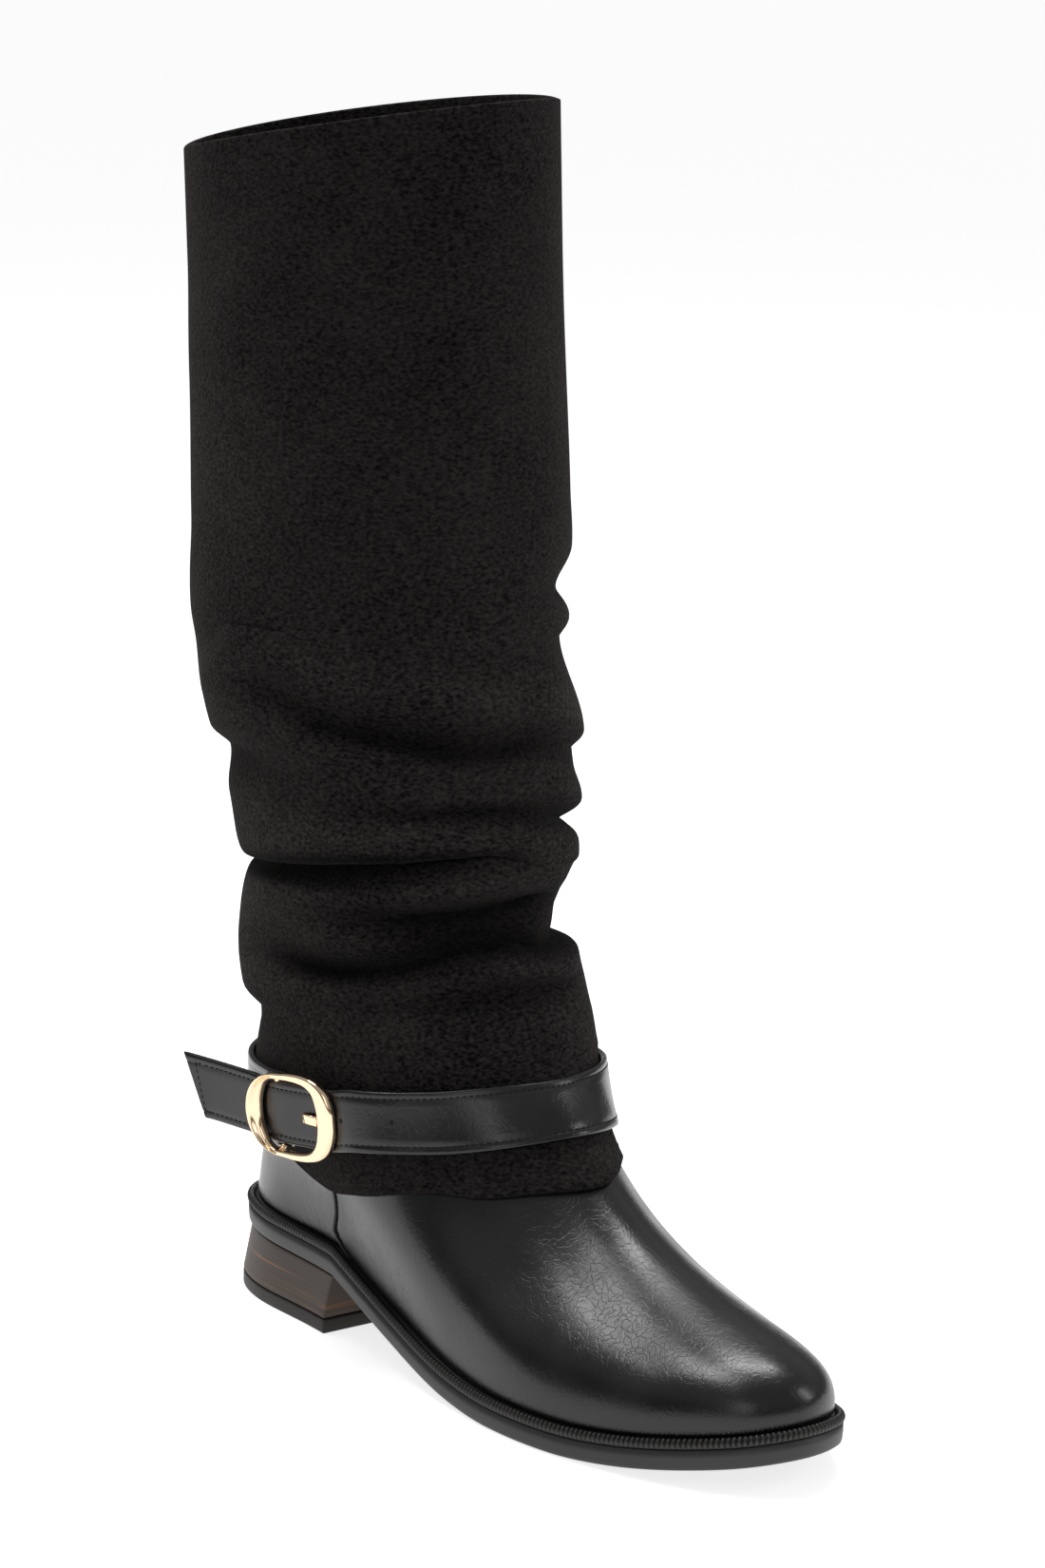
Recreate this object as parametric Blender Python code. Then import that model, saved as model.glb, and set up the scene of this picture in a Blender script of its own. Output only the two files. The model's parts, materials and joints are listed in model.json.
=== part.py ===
"""Knee-high slouch boot with an ankle strap and buckle, for the right foot.

Frame: +Z up, the toe points to -Y and the outer side of the foot to -X. The origin is the centre of
the heel's flat foot, on the floor. Along the foot, sizes are measured forwards from the back of the
sole. Across it, outwards is positive. Metres throughout.
"""

import math

import bmesh
import bpy
import numpy as np

# Sole unit
sole_length = 0.266
ball_width = 0.086
sole_height = 0.0097  # at the ball, welt included
toe_spring = 0.0103
seat_back = 0.0323  # top of the welt above the floor, at the back of the heel
seat_front = 0.0303  # the same at the front of the heel
seat_end = 0.27  # share of the length where the heel seat ends
ball_back = 0.635  # share of the length where the flat of the forefoot begins
ball_front = 0.735
welt_height = 0.0030
welt_ledge = 0.0032  # how far the welt stands out past the upper
welt_depth = 0.0085
sole_inset = 0.0010  # how far the sole's lower edge is drawn in
sole_edge_inset = 0.0004  # how far its side is, above and below
sole_top_inset = 0.0002
sole_edge_round = 0.0012  # height of the rounding along its lower edge
spring_power = 1.7  # how late the toe springs up

# Heel
heel_length = 0.0712
heel_centre = 0.030  # the origin, forwards of the back of the sole
heel_rake = 0.0040  # how far back the heel's foot is set from its seat
heel_inset = 0.0016
heel_flare = 0.0006
lift_height = 0.0048

# Foot upper and insole
upper_wall = 0.0018
upper_top = 0.96  # share of the meridians where the foot upper ends, under the shaft
insole_height = 0.0030

# Strip over the seam on each side of the foot
seam_width = 0.0034
seam_height = 0.0009
seam_foot = 6.95  # place on the sole, and at the skirt's edge
seam_head = 6.65

# Ankle, where the foot upper ends and the shaft's slouch begins
ankle_height = 0.098
ankle_centre = 0.0765
ankle_offset = -0.003  # the ankle's middle lies to the inner side
ankle_length = 0.118
ankle_width = 0.0895

# Shaft
shaft_wall = 0.0016
rim_height = 0.386
rim_rise_front = 0.0047  # how much higher than its middle the rim stands at the front
rim_rise_inner = 0.0077  # and on the inner side
calf_centre = 0.044
calf_length = 0.1262
calf_width = 0.1012

# Ankle strap
strap_width = 0.0200
strap_thickness = 0.0022
chape_thickness = 0.0008  # of the strap's thinned end, folded round the buckle's bar
chape_taper = 0.35  # places over which the strap reaches its full thickness
strap_clearance = 0.0006  # between the suede and the strap
strap_splay = 7.5  # degrees by which the strap stands outwards as it runs back from the buckle
strap_pitch = 4.5  # degrees by which it falls towards the heel there
strap_lean = 3.0  # degrees by which its upper edge stands out
tail_pitch = 5.5  # degrees by which the tail rises again, from the strap's own line
slack_place = 4.0  # place where the strap's upper pass starts to leave the suede
leave_place = 5.5  # place where it runs straight on to the buckle
chape_place = 6.95  # place where the strap's lower pass meets the suede
tail_top = 0.0455  # length of the tail past the bar, along its upper and its lower edge
tail_bottom = 0.0350
hole_radius = 0.0010

# Buckle
bar_along = 0.0698
bar_height = 0.0776
bar_radius = 0.0008  # half the side of its square section
bar_stand_off = 0.0032  # of the bar's axis from the suede
frame_front = 0.0256  # reach of the frame in front of its bar and behind it
frame_back = 0.0137
frame_half_height = 0.0136
frame_thickness = 0.0026
prong_width = 0.0030
prong_thickness = 0.0011
prong_hole = 0.0109  # where the prong comes up through the strap, in front of the bar

gap = 0.0003  # between touching solids

columns = 40
heel_columns = 22
vamp_rows = 9
skirt_rows = 5
fold_zone_rows = 33
calf_rows = 5
seam_rows = 6
fold_zone_top = 0.64  # share of the shaft's height up to which it is slouched

# The sole's outline, from the toe tip round the outer side to the heel, one row a place: share of
# the sole's length, then of half the ball width on the outer and on the inner side.
outline_rows = [
    (1.000, -0.03, -0.03),
    (0.976, 0.37, -0.44),
    (0.915, 0.64, -0.72),
    (0.820, 0.87, -0.94),
    (0.690, 1.01, -0.99),
    (0.550, 0.96, -0.79),
    (0.400, 0.82, -0.61),
    (0.240, 0.69, -0.63),
    (0.105, 0.61, -0.61),
    (0.026, 0.38, -0.38),
    (0.000, 0.00, 0.00),
]
heel_place = len(outline_rows) - 1
places = 2 * heel_place

# The meridians of the foot upper, from the sole up to the ankle. Rows: place round the outline, its
# bearing on the ankle in degrees, how high and how far out the lower handle stands, and how long the
# upper handle is and how many degrees it leans out.
meridian_rows = [
    (0, 0, 0.0318, 0.0050, 0.0850, 33),
    (2, 20, 0.0280, 0.0040, 0.0850, 22),
    (4, 44, 0.0250, 0.0027, 0.0620, 3),
    (6, 78, 0.0225, 0.0023, 0.0370, 3),
    (8, 128, 0.0222, -0.0020, 0.0230, 2),
    (10, 180, 0.0222, -0.0020, 0.0230, 2),
    (12, 232, 0.0222, -0.0020, 0.0230, 2),
    (14, 282, 0.0225, 0.0023, 0.0370, 3),
    (16, 316, 0.0250, 0.0027, 0.0620, 3),
    (18, 340, 0.0280, 0.0040, 0.0850, 22),
]

# The smooth tube that the slouch hangs on. Rows: share of the height from the ankle to the rim,
# centre as a share of the way from the ankle's to the calf's, length and width as shares of the
# calf's.
tube_rows = [
    (0.00, 0.00, ankle_length / calf_length, ankle_width / calf_width),
    (0.08, 0.30, 0.930, 0.830),
    (0.17, 0.36, 0.915, 0.870),
    (0.26, 0.44, 0.940, 0.925),
    (0.35, 0.62, 0.955, 0.985),
    (0.45, 0.80, 0.975, 1.040),
    (0.60, 0.78, 0.985, 1.030),
    (0.80, 0.90, 0.995, 1.040),
    (1.00, 1.00, 1.000, 1.040),
]

# Lower edge of the suede skirt on the foot: place, height.
skirt_edge_rows = [
    (0.0, 0.0672),
    (1.5, 0.0658),
    (3.0, 0.0630),
    (4.5, 0.0618),
    (6.0, 0.0560),
    (6.8, 0.0520),
    (7.6, 0.0585),
    (8.6, 0.0740),
    (10.0, 0.0790),
    (11.4, 0.0740),
    (12.4, 0.0585),
    (13.2, 0.0520),
    (14.5, 0.0580),
    (16.0, 0.0640),
    (17.5, 0.0678),
]

# The strap's middle line on the ankle: place, height.
strap_rows = [
    (0.0, 0.0861),
    (2.5, 0.0848),
    (4.0, 0.0828),
    (5.3, 0.0812),
    (6.5, 0.0798),
    (8.0, 0.0770),
    (10.0, 0.0752),
    (12.0, 0.0770),
    (14.0, 0.0810),
    (16.0, 0.0840),
    (18.0, 0.0856),
]

# Round holes in the strap: distance in front of the prong's own.
hole_rows = [0.0170, 0.0340]

# Upper half of the buckle's frame, from the front to the back. Rows: outer and inner edge, each as a
# share of the frame's reach on that side and of its half height.
frame_rows = [
    (1.00, 0.00, 0.725, 0.00),
    (0.96, 0.43, 0.71, 0.37),
    (0.83, 0.73, 0.63, 0.64),
    (0.66, 0.94, 0.51, 0.76),
    (0.45, 1.00, 0.36, 0.81),
    (0.20, 0.99, 0.18, 0.83),
    (0.05, 0.93, 0.05, 0.83),
    (-0.09, 0.93, -0.08, 0.82),
    (-0.29, 0.93, -0.18, 0.76),
    (-0.56, 0.80, -0.34, 0.62),
    (-0.84, 0.49, -0.47, 0.35),
    (-1.00, 0.00, -0.52, 0.00),
]

# Folds of the slouch. Rows: bearing of the middle in degrees, height of the middle as a share of the
# rim's, half span in degrees, rise of the path towards higher bearings and its sag towards both ends
# (shares of the rim's height), half height (same share), push and droop (metres).
fold_rows = [
    (128, 0.678, 60, 0.000, 0.000, 0.022, 0.0040, 0.0010),
    (118, 0.650, 45, 0.004, 0.000, 0.011, -0.0022, 0.0),
    (310, 0.667, 50, 0.000, 0.000, 0.018, 0.0045, 0.0010),
    (312, 0.598, 40, 0.004, 0.000, 0.014, 0.0042, 0.0020),
    (312, 0.577, 35, 0.000, 0.000, 0.009, -0.0012, 0.0),
    (60, 0.566, 90, 0.010, 0.000, 0.022, 0.0025, 0.0030),
    (312, 0.525, 45, 0.000, 0.000, 0.022, 0.0075, 0.0040),
    (20, 0.507, 85, 0.032, -0.018, 0.013, -0.0055, 0.0),
    (110, 0.495, 60, 0.005, 0.000, 0.018, 0.0060, 0.0030),
    (60, 0.462, 110, 0.000, 0.000, 0.028, 0.0040, 0.0020),
    (312, 0.462, 40, 0.000, 0.000, 0.012, 0.0050, 0.0030),
    (20, 0.460, 130, -0.007, 0.055, 0.013, 0.0055, 0.0065),
    (20, 0.436, 125, -0.007, 0.050, 0.011, -0.0075, 0.0),
    (20, 0.424, 110, -0.025, 0.031, 0.012, 0.0050, 0.0030),
    (90, 0.376, 50, 0.018, 0.048, 0.014, 0.0050, 0.0030),
    (335, 0.357, 30, 0.000, 0.000, 0.014, -0.0050, 0.0),
    (60, 0.328, 18, 0.000, 0.000, 0.012, -0.0050, 0.0),
    (20, 0.347, 65, -0.043, -0.022, 0.012, 0.0055, 0.0045),
    (10, 0.320, 55, -0.010, 0.000, 0.011, -0.0040, 0.0),
    (128, 0.300, 55, 0.000, 0.000, 0.028, 0.0045, 0.0020),
    (318, 0.305, 45, 0.000, 0.000, 0.018, 0.0055, 0.0020),
    (185, 0.520, 70, 0.008, 0.012, 0.018, 0.0050, 0.0040),
    (190, 0.490, 70, 0.006, 0.010, 0.011, -0.0045, 0.0),
    (215, 0.455, 75, -0.010, 0.014, 0.015, 0.0055, 0.0060),
    (210, 0.428, 70, -0.008, 0.012, 0.011, -0.0060, 0.0),
    (190, 0.385, 70, 0.010, 0.010, 0.018, 0.0050, 0.0040),
    (200, 0.350, 60, 0.006, 0.008, 0.012, -0.0040, 0.0),
    (255, 0.500, 55, 0.015, 0.006, 0.014, -0.0040, 0.0),
    (250, 0.405, 55, -0.018, 0.006, 0.014, 0.0045, 0.0030),
    (255, 0.360, 50, 0.012, 0.000, 0.013, -0.0040, 0.0),
    (250, 0.320, 55, -0.008, 0.004, 0.018, 0.0040, 0.0020),
]


def spline(rows, at, period=None):
    """Smooth curve through rows whose first column is the place, read at the places given."""
    rows = np.array(rows, float)
    if period:
        turn = np.zeros(rows.shape[1])
        turn[0] = period
        rows = np.vstack([rows[-3:] - turn, rows, rows[:3] + turn])
        at = np.mod(at, period)
    knots, values = rows[:, 0], rows[:, 1:]
    slopes = np.gradient(values, knots, axis=0)
    span = np.clip(np.searchsorted(knots, at, side="right") - 1, 0, len(knots) - 2)
    step = (knots[span + 1] - knots[span])[..., None]
    t = (at - knots[span])[..., None] / step
    start = (1 + 2 * t) * (1 - t) ** 2 * values[span] + t * (1 - t) ** 2 * step * slopes[span]
    end = t * t * (3 - 2 * t) * values[span + 1] - t * t * (1 - t) * step * slopes[span + 1]
    return start + end


def outline_table():
    outer = [(i, a, o) for i, (a, o, _) in enumerate(outline_rows)]
    inner = [(places - i, a, n) for i, (a, _, n) in enumerate(outline_rows)]
    return outer + sorted(inner[1:-1])


def outline(place, inset=0.0):
    """Points (along, across) on the sole's outline, moved in by the inset."""
    table = outline_table()
    size = np.array([sole_length, ball_width / 2])
    here = spline(table, place, places) * size
    step = 0.02
    ahead = spline(table, place + step, places) * size - spline(table, place - step, places) * size
    outwards = np.stack([ahead[..., 1], -ahead[..., 0]], -1)
    outwards /= np.linalg.norm(outwards, axis=-1, keepdims=True)
    return here - outwards * np.asarray(inset)[..., None]


def welt_top(along):
    """Height of the welt's top edge, which is flat at the ball and springs up at the toe."""
    share = along / sole_length
    seat = seat_back + (seat_front - seat_back) * np.clip(share / seat_end, 0, 1)
    down = np.clip((share - seat_end) / (ball_back - seat_end), 0, 1)
    shank = 0.5 * (1 - down) ** 2 * (1 + 2 * down) + 0.5 * (1 - down) ** 3
    height = sole_height + (seat - sole_height) * np.where(down > 0, shank, 1.0)
    spring = np.clip((share - ball_front) / (1 - ball_front), 0, 1.2)
    return height + toe_spring * spring**spring_power


def body(s, place, lift=0.0):
    """The boot's outer surface: s runs 0 to 1 up the foot and 1 to 2 up the shaft. Lift moves the
    points out square to the surface."""
    s, place = np.broadcast_arrays(np.asarray(s, float), np.asarray(place, float))
    here = bare_body(s, place)
    step = 0.004
    low = np.clip(s - step, 0, 2)
    high = np.clip(s + step, 0, 2)
    up = bare_body(high, place) - bare_body(low, place)
    side = bare_body(s, place + 5 * step) - bare_body(s, place - 5 * step)
    normal = np.cross(side, up)
    normal /= np.linalg.norm(normal, axis=-1, keepdims=True)
    return here + normal * np.asarray(lift)[..., None]


def bare_body(s, place):
    foot = foot_points(np.clip(s, 0, 1), place)
    tube = tube_points(np.clip(s - 1, 0, 1), place)
    return np.where((s > 1)[..., None], tube, foot)


def meridian(place):
    """Bearing on the ankle in degrees, and the handles, of the meridian at a place."""
    even = 360 / places
    table = [(row[0], row[1] - even * row[0], *row[2:]) for row in meridian_rows]
    values = spline(table, place, places)
    return values[..., 0] + even * np.mod(place, places), values[..., 1:]


def ankle_points(bearing):
    along = ankle_centre + ankle_length / 2 * np.cos(bearing)
    across = ankle_offset + ankle_width / 2 * np.sin(bearing)
    return np.stack([along, across, np.full_like(along, ankle_height)], -1)


def foot_points(t, place):
    degrees, handles = meridian(place)
    bearing = np.radians(degrees)
    rise, lean, reach, tilt = np.moveaxis(handles, -1, 0)
    edge = outline(place, welt_ledge)
    start = np.concatenate([edge, (welt_top(edge[..., 0]) + gap)[..., None]], -1)
    out_low = outline(place, 0.0) - edge
    out_low /= np.linalg.norm(out_low, axis=-1, keepdims=True)
    low = start + np.concatenate([out_low * lean[..., None], rise[..., None]], -1)
    end = ankle_points(bearing)
    out_high = np.stack([np.cos(bearing), np.sin(bearing)], -1)
    swing = reach * np.sin(np.radians(tilt))
    high = end + np.concatenate(
        [out_high * swing[..., None], (-reach * np.cos(np.radians(tilt)))[..., None]], -1
    )
    t = t[..., None]
    return (1 - t) ** 3 * start + 3 * t * (1 - t) ** 2 * low + 3 * t * t * (1 - t) * high + t**3 * end


def tube_points(t, place):
    degrees, _ = meridian(place)
    bearing = np.radians(degrees)
    values = spline(tube_rows, t)
    centre = ankle_centre + (calf_centre - ankle_centre) * values[..., 0]
    height = ankle_height + (rim_height - ankle_height) * t
    push, droop = slouch(height / rim_height, degrees)
    half_length = calf_length / 2 * values[..., 1] + push
    half_width = calf_width / 2 * values[..., 2] + push
    along = centre + half_length * np.cos(bearing)
    across = ankle_offset * (1 - values[..., 0]) + half_width * np.sin(bearing)
    tilt = rim_rise_front * np.cos(bearing) - rim_rise_inner * np.sin(bearing)
    height = height + tilt * t**3 - droop
    return np.stack([along, across, height], -1)


def slouch(height, degrees):
    """How far the folds push the shaft out and how far they hang down."""
    push = np.zeros_like(height)
    droop = np.zeros_like(height)
    for middle, level, span, rise, sag, half, out, hang in fold_rows:
        off = np.mod(degrees - middle + 180, 360) - 180
        share = np.clip(off / span, -1, 1)
        path = level + rise * share - sag * share**2
        weight = np.cos(share * math.pi / 2) ** 2 * np.exp(-(((height - path) / half) ** 2))
        push += out * weight
        droop += hang * weight
    return push, droop


def to_world(points):
    """From sizes along, across and up to the frame: the toe to -Y, the outer side to -X."""
    along, across, up = np.moveaxis(np.asarray(points, float), -1, 0)
    return np.stack([-across, heel_centre - along, up], -1)


def material(name, colour, roughness, metallic=0.0):
    shade = bpy.data.materials.new(name)
    shade.use_nodes = True
    shader = shade.node_tree.nodes["Principled BSDF"]
    shader.inputs["Base Color"].default_value = (*colour, 1)
    shader.inputs["Roughness"].default_value = roughness
    shader.inputs["Metallic"].default_value = metallic
    shade.diffuse_color = (*colour, 1)
    return shade


def solid(name, points, faces, shade, smooth=True):
    """One closed mesh object from points in boot sizes, with its faces turned outwards."""
    mesh = bpy.data.meshes.new(name)
    mesh.from_pydata([tuple(p) for p in to_world(points)], [], faces)
    work = bmesh.new()
    work.from_mesh(mesh)
    bmesh.ops.recalc_face_normals(work, faces=work.faces)
    if work.calc_volume(signed=True) < 0:
        bmesh.ops.reverse_faces(work, faces=work.faces)
    work.to_mesh(mesh)
    work.free()
    mesh.polygons.foreach_set("use_smooth", [smooth] * len(mesh.polygons))
    mesh.materials.append(shade)
    obj = bpy.data.objects.new(name, mesh)
    bpy.context.scene.collection.objects.link(obj)
    return obj


def shell(name, outer, inner, shade):
    """A tube with a wall, from two grids of the same rows and columns, joined at both ends."""
    rows, count = outer.shape[:2]
    points = np.vstack([outer.reshape(-1, 3), inner.reshape(-1, 3)])
    rings = [[layer * rows * count + r * count + c for c in range(count)]
             for layer in (0, 1) for r in range(rows)]
    loop = rings[:rows] + rings[rows:][::-1]
    faces = []
    for level, (here, above) in enumerate(zip(loop, loop[1:] + loop[:1])):
        for c in range(count):
            d = (c + 1) % count
            corners = (here[c], here[d], above[d], above[c])
            # both layers are split along the same diagonals, so the wall stays even
            faces.append(corners if level < rows else corners[1:] + corners[:1])
    return solid(name, points, faces, shade)


def slab(name, rings, shade, open_ring=False):
    """A solid between rings of points one above the other, capped by strips across each end ring.
    A closed ring starts at its tip and its far point is half way round."""
    count = len(rings[0])
    points = np.vstack(rings)
    faces = []
    for level in range(len(rings) - 1):
        a, b = level * count, (level + 1) * count
        for c in range(count):
            d = (c + 1) % count
            faces.append((a + c, a + d, b + d, b + c))
    for base in (0, (len(rings) - 1) * count):
        if open_ring:
            pairs = [(base + i, base + count - 1 - i) for i in range(count // 2)]
        else:
            pairs = [(base + i, base + count - i) for i in range(1, count // 2)]
            faces.append((base, pairs[0][0], pairs[0][1]))
            faces.append((base + count // 2, pairs[-1][1], pairs[-1][0]))
        for (a, b), (c, d) in zip(pairs, pairs[1:]):
            faces.append((a, c, d, b))
    return solid(name, points, faces, shade)


def level_ring(place, inset, above):
    """The sole's outline moved in by the inset, at a height above or below the welt's top."""
    edge = outline(place, inset)
    return np.concatenate([edge, (welt_top(edge[..., 0]) + above)[..., None]], -1)


def places_at(along, inset=0.0):
    """The two places, outer and inner, where the outline passes a distance along the sole."""
    dense = np.linspace(0, places, 1201)
    behind = outline(dense, inset)[:, 0] < along
    return dense[np.argmax(behind)], dense[len(dense) - 1 - np.argmax(behind[::-1])]


def column_places():
    """Places of the columns of every ring, with one more on each side where the heel seat ends."""
    even = np.arange(columns) * places / columns
    return np.sort(np.append(even, places_at(seat_end * sole_length)))


def inside_ring(place, above):
    """A ring just inside the foot upper's wall, at a height above the welt's top."""
    level = welt_top(outline(place, welt_ledge)[:, 0]) + above
    ring = body(share_at(level, place), place, -upper_wall - 2 * gap)
    ring[:, 2] = level
    return ring


def make_sole(rubber, leather):
    at = column_places()
    bottom = -sole_height
    joint = -welt_height - gap
    slab(
        "outsole",
        [
            level_ring(at, sole_inset, bottom),
            level_ring(at, sole_edge_inset, bottom + sole_edge_round),
            level_ring(at, sole_top_inset, joint),
        ],
        rubber,
    )
    ring_rows = [(0.0, -welt_height), (0.0, 0.0), (welt_depth, 0.0), (welt_depth, -welt_height)]
    loops = [level_ring(at, inset, above) for inset, above in ring_rows]
    shell("welt", np.array(loops[:2]), np.array(loops[:1:-1]), leather)
    slab("insole", [inside_ring(at, gap), inside_ring(at, gap + insole_height)], leather)


def heel_ring(inset, along_shift, height):
    """D-shaped ring: from the front corner on the outer side round the back to the inner side."""
    ring = outline(np.linspace(*places_at(heel_length, inset), heel_columns), inset)
    ring[:, 0] += along_shift
    level = height(ring[:, 0]) if callable(height) else np.full(len(ring), height)
    return np.concatenate([ring, level[:, None]], -1)


def make_heel(wood, rubber):
    def seat(along):
        return welt_top(along) - sole_height - gap

    slab(
        "heel_block",
        [
            heel_ring(heel_inset - heel_flare, -heel_rake, lift_height + gap),
            heel_ring(heel_inset, 0.0, seat),
        ],
        wood,
        open_ring=True,
    )
    slab(
        "top_lift",
        [
            heel_ring(heel_inset - heel_flare, -heel_rake, 0.0),
            heel_ring(heel_inset - heel_flare, -heel_rake, lift_height),
        ],
        rubber,
        open_ring=True,
    )


def skirt_shares(place):
    """Rows of shares of the meridians, from the skirt's lower edge to the foot upper's top."""
    edge = share_at(spline(skirt_edge_rows, place, places)[..., 0], place)
    return edge + (upper_top - edge) * np.linspace(0, 1, skirt_rows)[:, None]


def make_upper(leather):
    at = column_places()
    skirt = skirt_shares(at)
    vamp = skirt[0] * np.linspace(0, 1, vamp_rows, endpoint=False)[:, None]
    t = np.vstack([vamp, skirt])
    outer = body(t, at)
    inner = body(t, at, -upper_wall)
    inner[0, :, 2] = outer[0, :, 2]
    shell("upper", outer, inner, leather)


def make_seam(name, side, leather):
    """A strip up the foot, from the welt to the skirt's edge: side is 1 outside and -1 inside."""
    up = np.linspace(0, 1, seam_rows)
    middle = np.mod(side * (seam_foot + (seam_head - seam_foot) * up), places)
    half = seam_width / 2 / np.linalg.norm(outline(middle + 0.5) - outline(middle - 0.5), axis=1)
    place = middle[:, None] + half[:, None] * np.array([-1, 0, 1])
    low = welt_top(outline(place, welt_ledge)[..., 0]) + 3 * gap
    high = spline(skirt_edge_rows, place, places)[..., 0] - 2 * gap
    level = low + (high - low) * up[:, None]
    s = np.stack([share_at(a, b) for a, b in zip(level.T, place.T)], 1)
    ribbon(name, list(zip(body(s, place, gap), body(s, place, gap + seam_height))), leather)


def share_at(height, place):
    """How far up the foot's meridians a height lies, for an array of places."""
    s = np.linspace(0, 1, 81)
    levels = foot_points(*np.broadcast_arrays(s[:, None], place))[..., 2]
    return np.array([np.interp(h, level, s) for h, level in zip(height, levels.T)])


def make_shaft(suede):
    at = column_places()
    tube = np.concatenate(
        [
            np.linspace(1, 1 + fold_zone_top, fold_zone_rows, endpoint=False),
            np.linspace(1 + fold_zone_top, 2, calf_rows),
        ]
    )
    s = np.vstack([skirt_shares(at), np.repeat(tube[:, None], len(at), 1)])
    shell("shaft", body(s, at, gap + shaft_wall), body(s, at, gap), suede)


def bar_frame():
    """The bar's middle, and the strap's directions there: to the front, up its width and outwards."""
    splay, pitch, lean = np.radians((strap_splay, strap_pitch, strap_lean))
    level = np.array([math.cos(splay), -math.sin(splay), 0.0])
    outwards = np.array([math.sin(splay), math.cos(splay), 0.0])
    out = outwards * math.cos(lean) - np.array([0, 0, math.sin(lean)])
    ahead = level * math.cos(pitch) + np.cross(level, out) * math.sin(pitch)
    up = np.cross(ahead, out)
    side = np.linspace(4, 9, 101)
    skin = body(share_at(np.full_like(side, bar_height), side), side, gap + shaft_wall + gap)
    across = np.interp(-bar_along, -skin[:, 0], skin[:, 1]) + bar_stand_off
    return np.array([bar_along, across, bar_height]), ahead, up, out


def bar_corner():
    """Reach of the square bar's corners from its axis."""
    return bar_radius * math.sqrt(2)


def tail_base():
    """Height of the strap's straight part over the bar's axis, to its inner face."""
    return bar_corner() + gap + chape_thickness + gap


def strap_place(place):
    """Share of the meridians where the strap's middle line runs."""
    return share_at(spline(strap_rows, place, places)[..., 0], place)


def strap_lift(turn):
    """How far the strap's inner face lies off the foot's surface, at a place that counts on past a
    whole turn for the upper pass."""
    rest = gap + shaft_wall + strap_clearance
    bar, ahead, _, out = bar_frame()
    place = np.array([leave_place])
    foot = body(strap_place(place), place, rest)[0]
    reach = np.dot(foot - bar, ahead)
    stand_off = (bar + ahead * reach + out * tail_base() - foot)[1]
    slack = np.clip((turn - places - slack_place) / (leave_place - slack_place), 0, 1)
    return rest + stand_off * slack**2 * (3 - 2 * slack)


def wrapped_rows(turns):
    """Stations of the strap where it lies on the ankle: three points across, on both faces."""
    rows = []
    for turn in turns:
        place = np.full(3, np.mod(turn, places))
        middle = spline(strap_rows, place, places)[..., 0]
        s = share_at(middle, place)
        climb = bare_body(s + 0.01, place) - bare_body(s - 0.01, place)
        rise = climb[:, 2] / np.linalg.norm(climb, axis=1) * strap_width / 2
        s = share_at(middle + rise * np.array([-1, 0, 1]), place)
        full = min((turn - chape_place) / chape_taper, 1)
        thick = chape_thickness + (strap_thickness - chape_thickness) * full
        lift = strap_lift(turn)
        rows.append((body(s, place, lift), body(s, place, lift + thick)))
    return rows


def chape_rows():
    """The strap's thinned end, from over the bar round its front to the side of the boot."""
    bar, ahead, up, out = bar_frame()
    width = np.array([[-1], [0], [1]]) * strap_width / 2 * up
    rows = []
    for degrees in (110, 75, 40, 0, -40, -75, -95):
        turned = math.radians(degrees)
        away = ahead * math.cos(turned) + out * math.sin(turned)
        near = bar + away * (bar_corner() + gap) + width
        rows.append((near + away * chape_thickness, near))
    return rows


def tail_rows():
    """The strap's straight end, from in front of the buckle to its slanted tip."""
    bar, ahead, up, out = bar_frame()
    start = bar + out * tail_base()
    rows = []
    for share in (-frame_front / tail_top, 0.0, 0.12, 0.3, 0.5, 0.7, 1.0):
        turned = math.radians(tail_pitch) * np.clip(share / 0.3, 0, 1)
        back = -ahead * math.cos(turned) + up * math.sin(turned)
        across = up * math.cos(turned) + ahead * math.sin(turned)
        slant = max((share - 0.7) / 0.3, 0)
        low, high = share * tail_bottom, share * tail_top
        low = high + (low - high) * slant
        reach = np.array([[low], [(low + high) / 2], [high]])
        inner = start + reach * back + np.array([[-1], [0], [1]]) * strap_width / 2 * across
        rows.append((inner, inner + strap_thickness * out))
    return rows


def ribbon(name, rows, shade):
    """A band from stations that each hold its points across, on the inner and the outer face."""
    count = 2 * len(rows[0][0])
    points = np.vstack([np.vstack([inner, outer[::-1]]) for inner, outer in rows])
    faces = [tuple(range(count)), tuple(range(len(points) - count, len(points)))]
    for level in range(len(rows) - 1):
        a, b = level * count, (level + 1) * count
        for c in range(count):
            d = (c + 1) % count
            faces.append((a + c, a + d, b + d, b + c))
    return solid(name, points, faces, shade)


def cut(obj, cutter, operation="DIFFERENCE"):
    cutter.hide_render = True
    cutter.display_type = "WIRE"
    step = obj.modifiers.new(cutter.name, "BOOLEAN")
    step.operation = operation
    step.solver = "EXACT"
    step.object = cutter


def prism(name, flat, along, shade=None):
    """A solid from a flat ring of points, drawn out along a direction to both sides."""
    count = len(flat)
    points = np.vstack([flat - along, flat + along])
    faces = [tuple(range(count)), tuple(range(count, 2 * count))]
    for i in range(count):
        j = (i + 1) % count
        faces.append((i, j, count + j, count + i))
    return solid(name, points, faces, shade, smooth=False)


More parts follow.
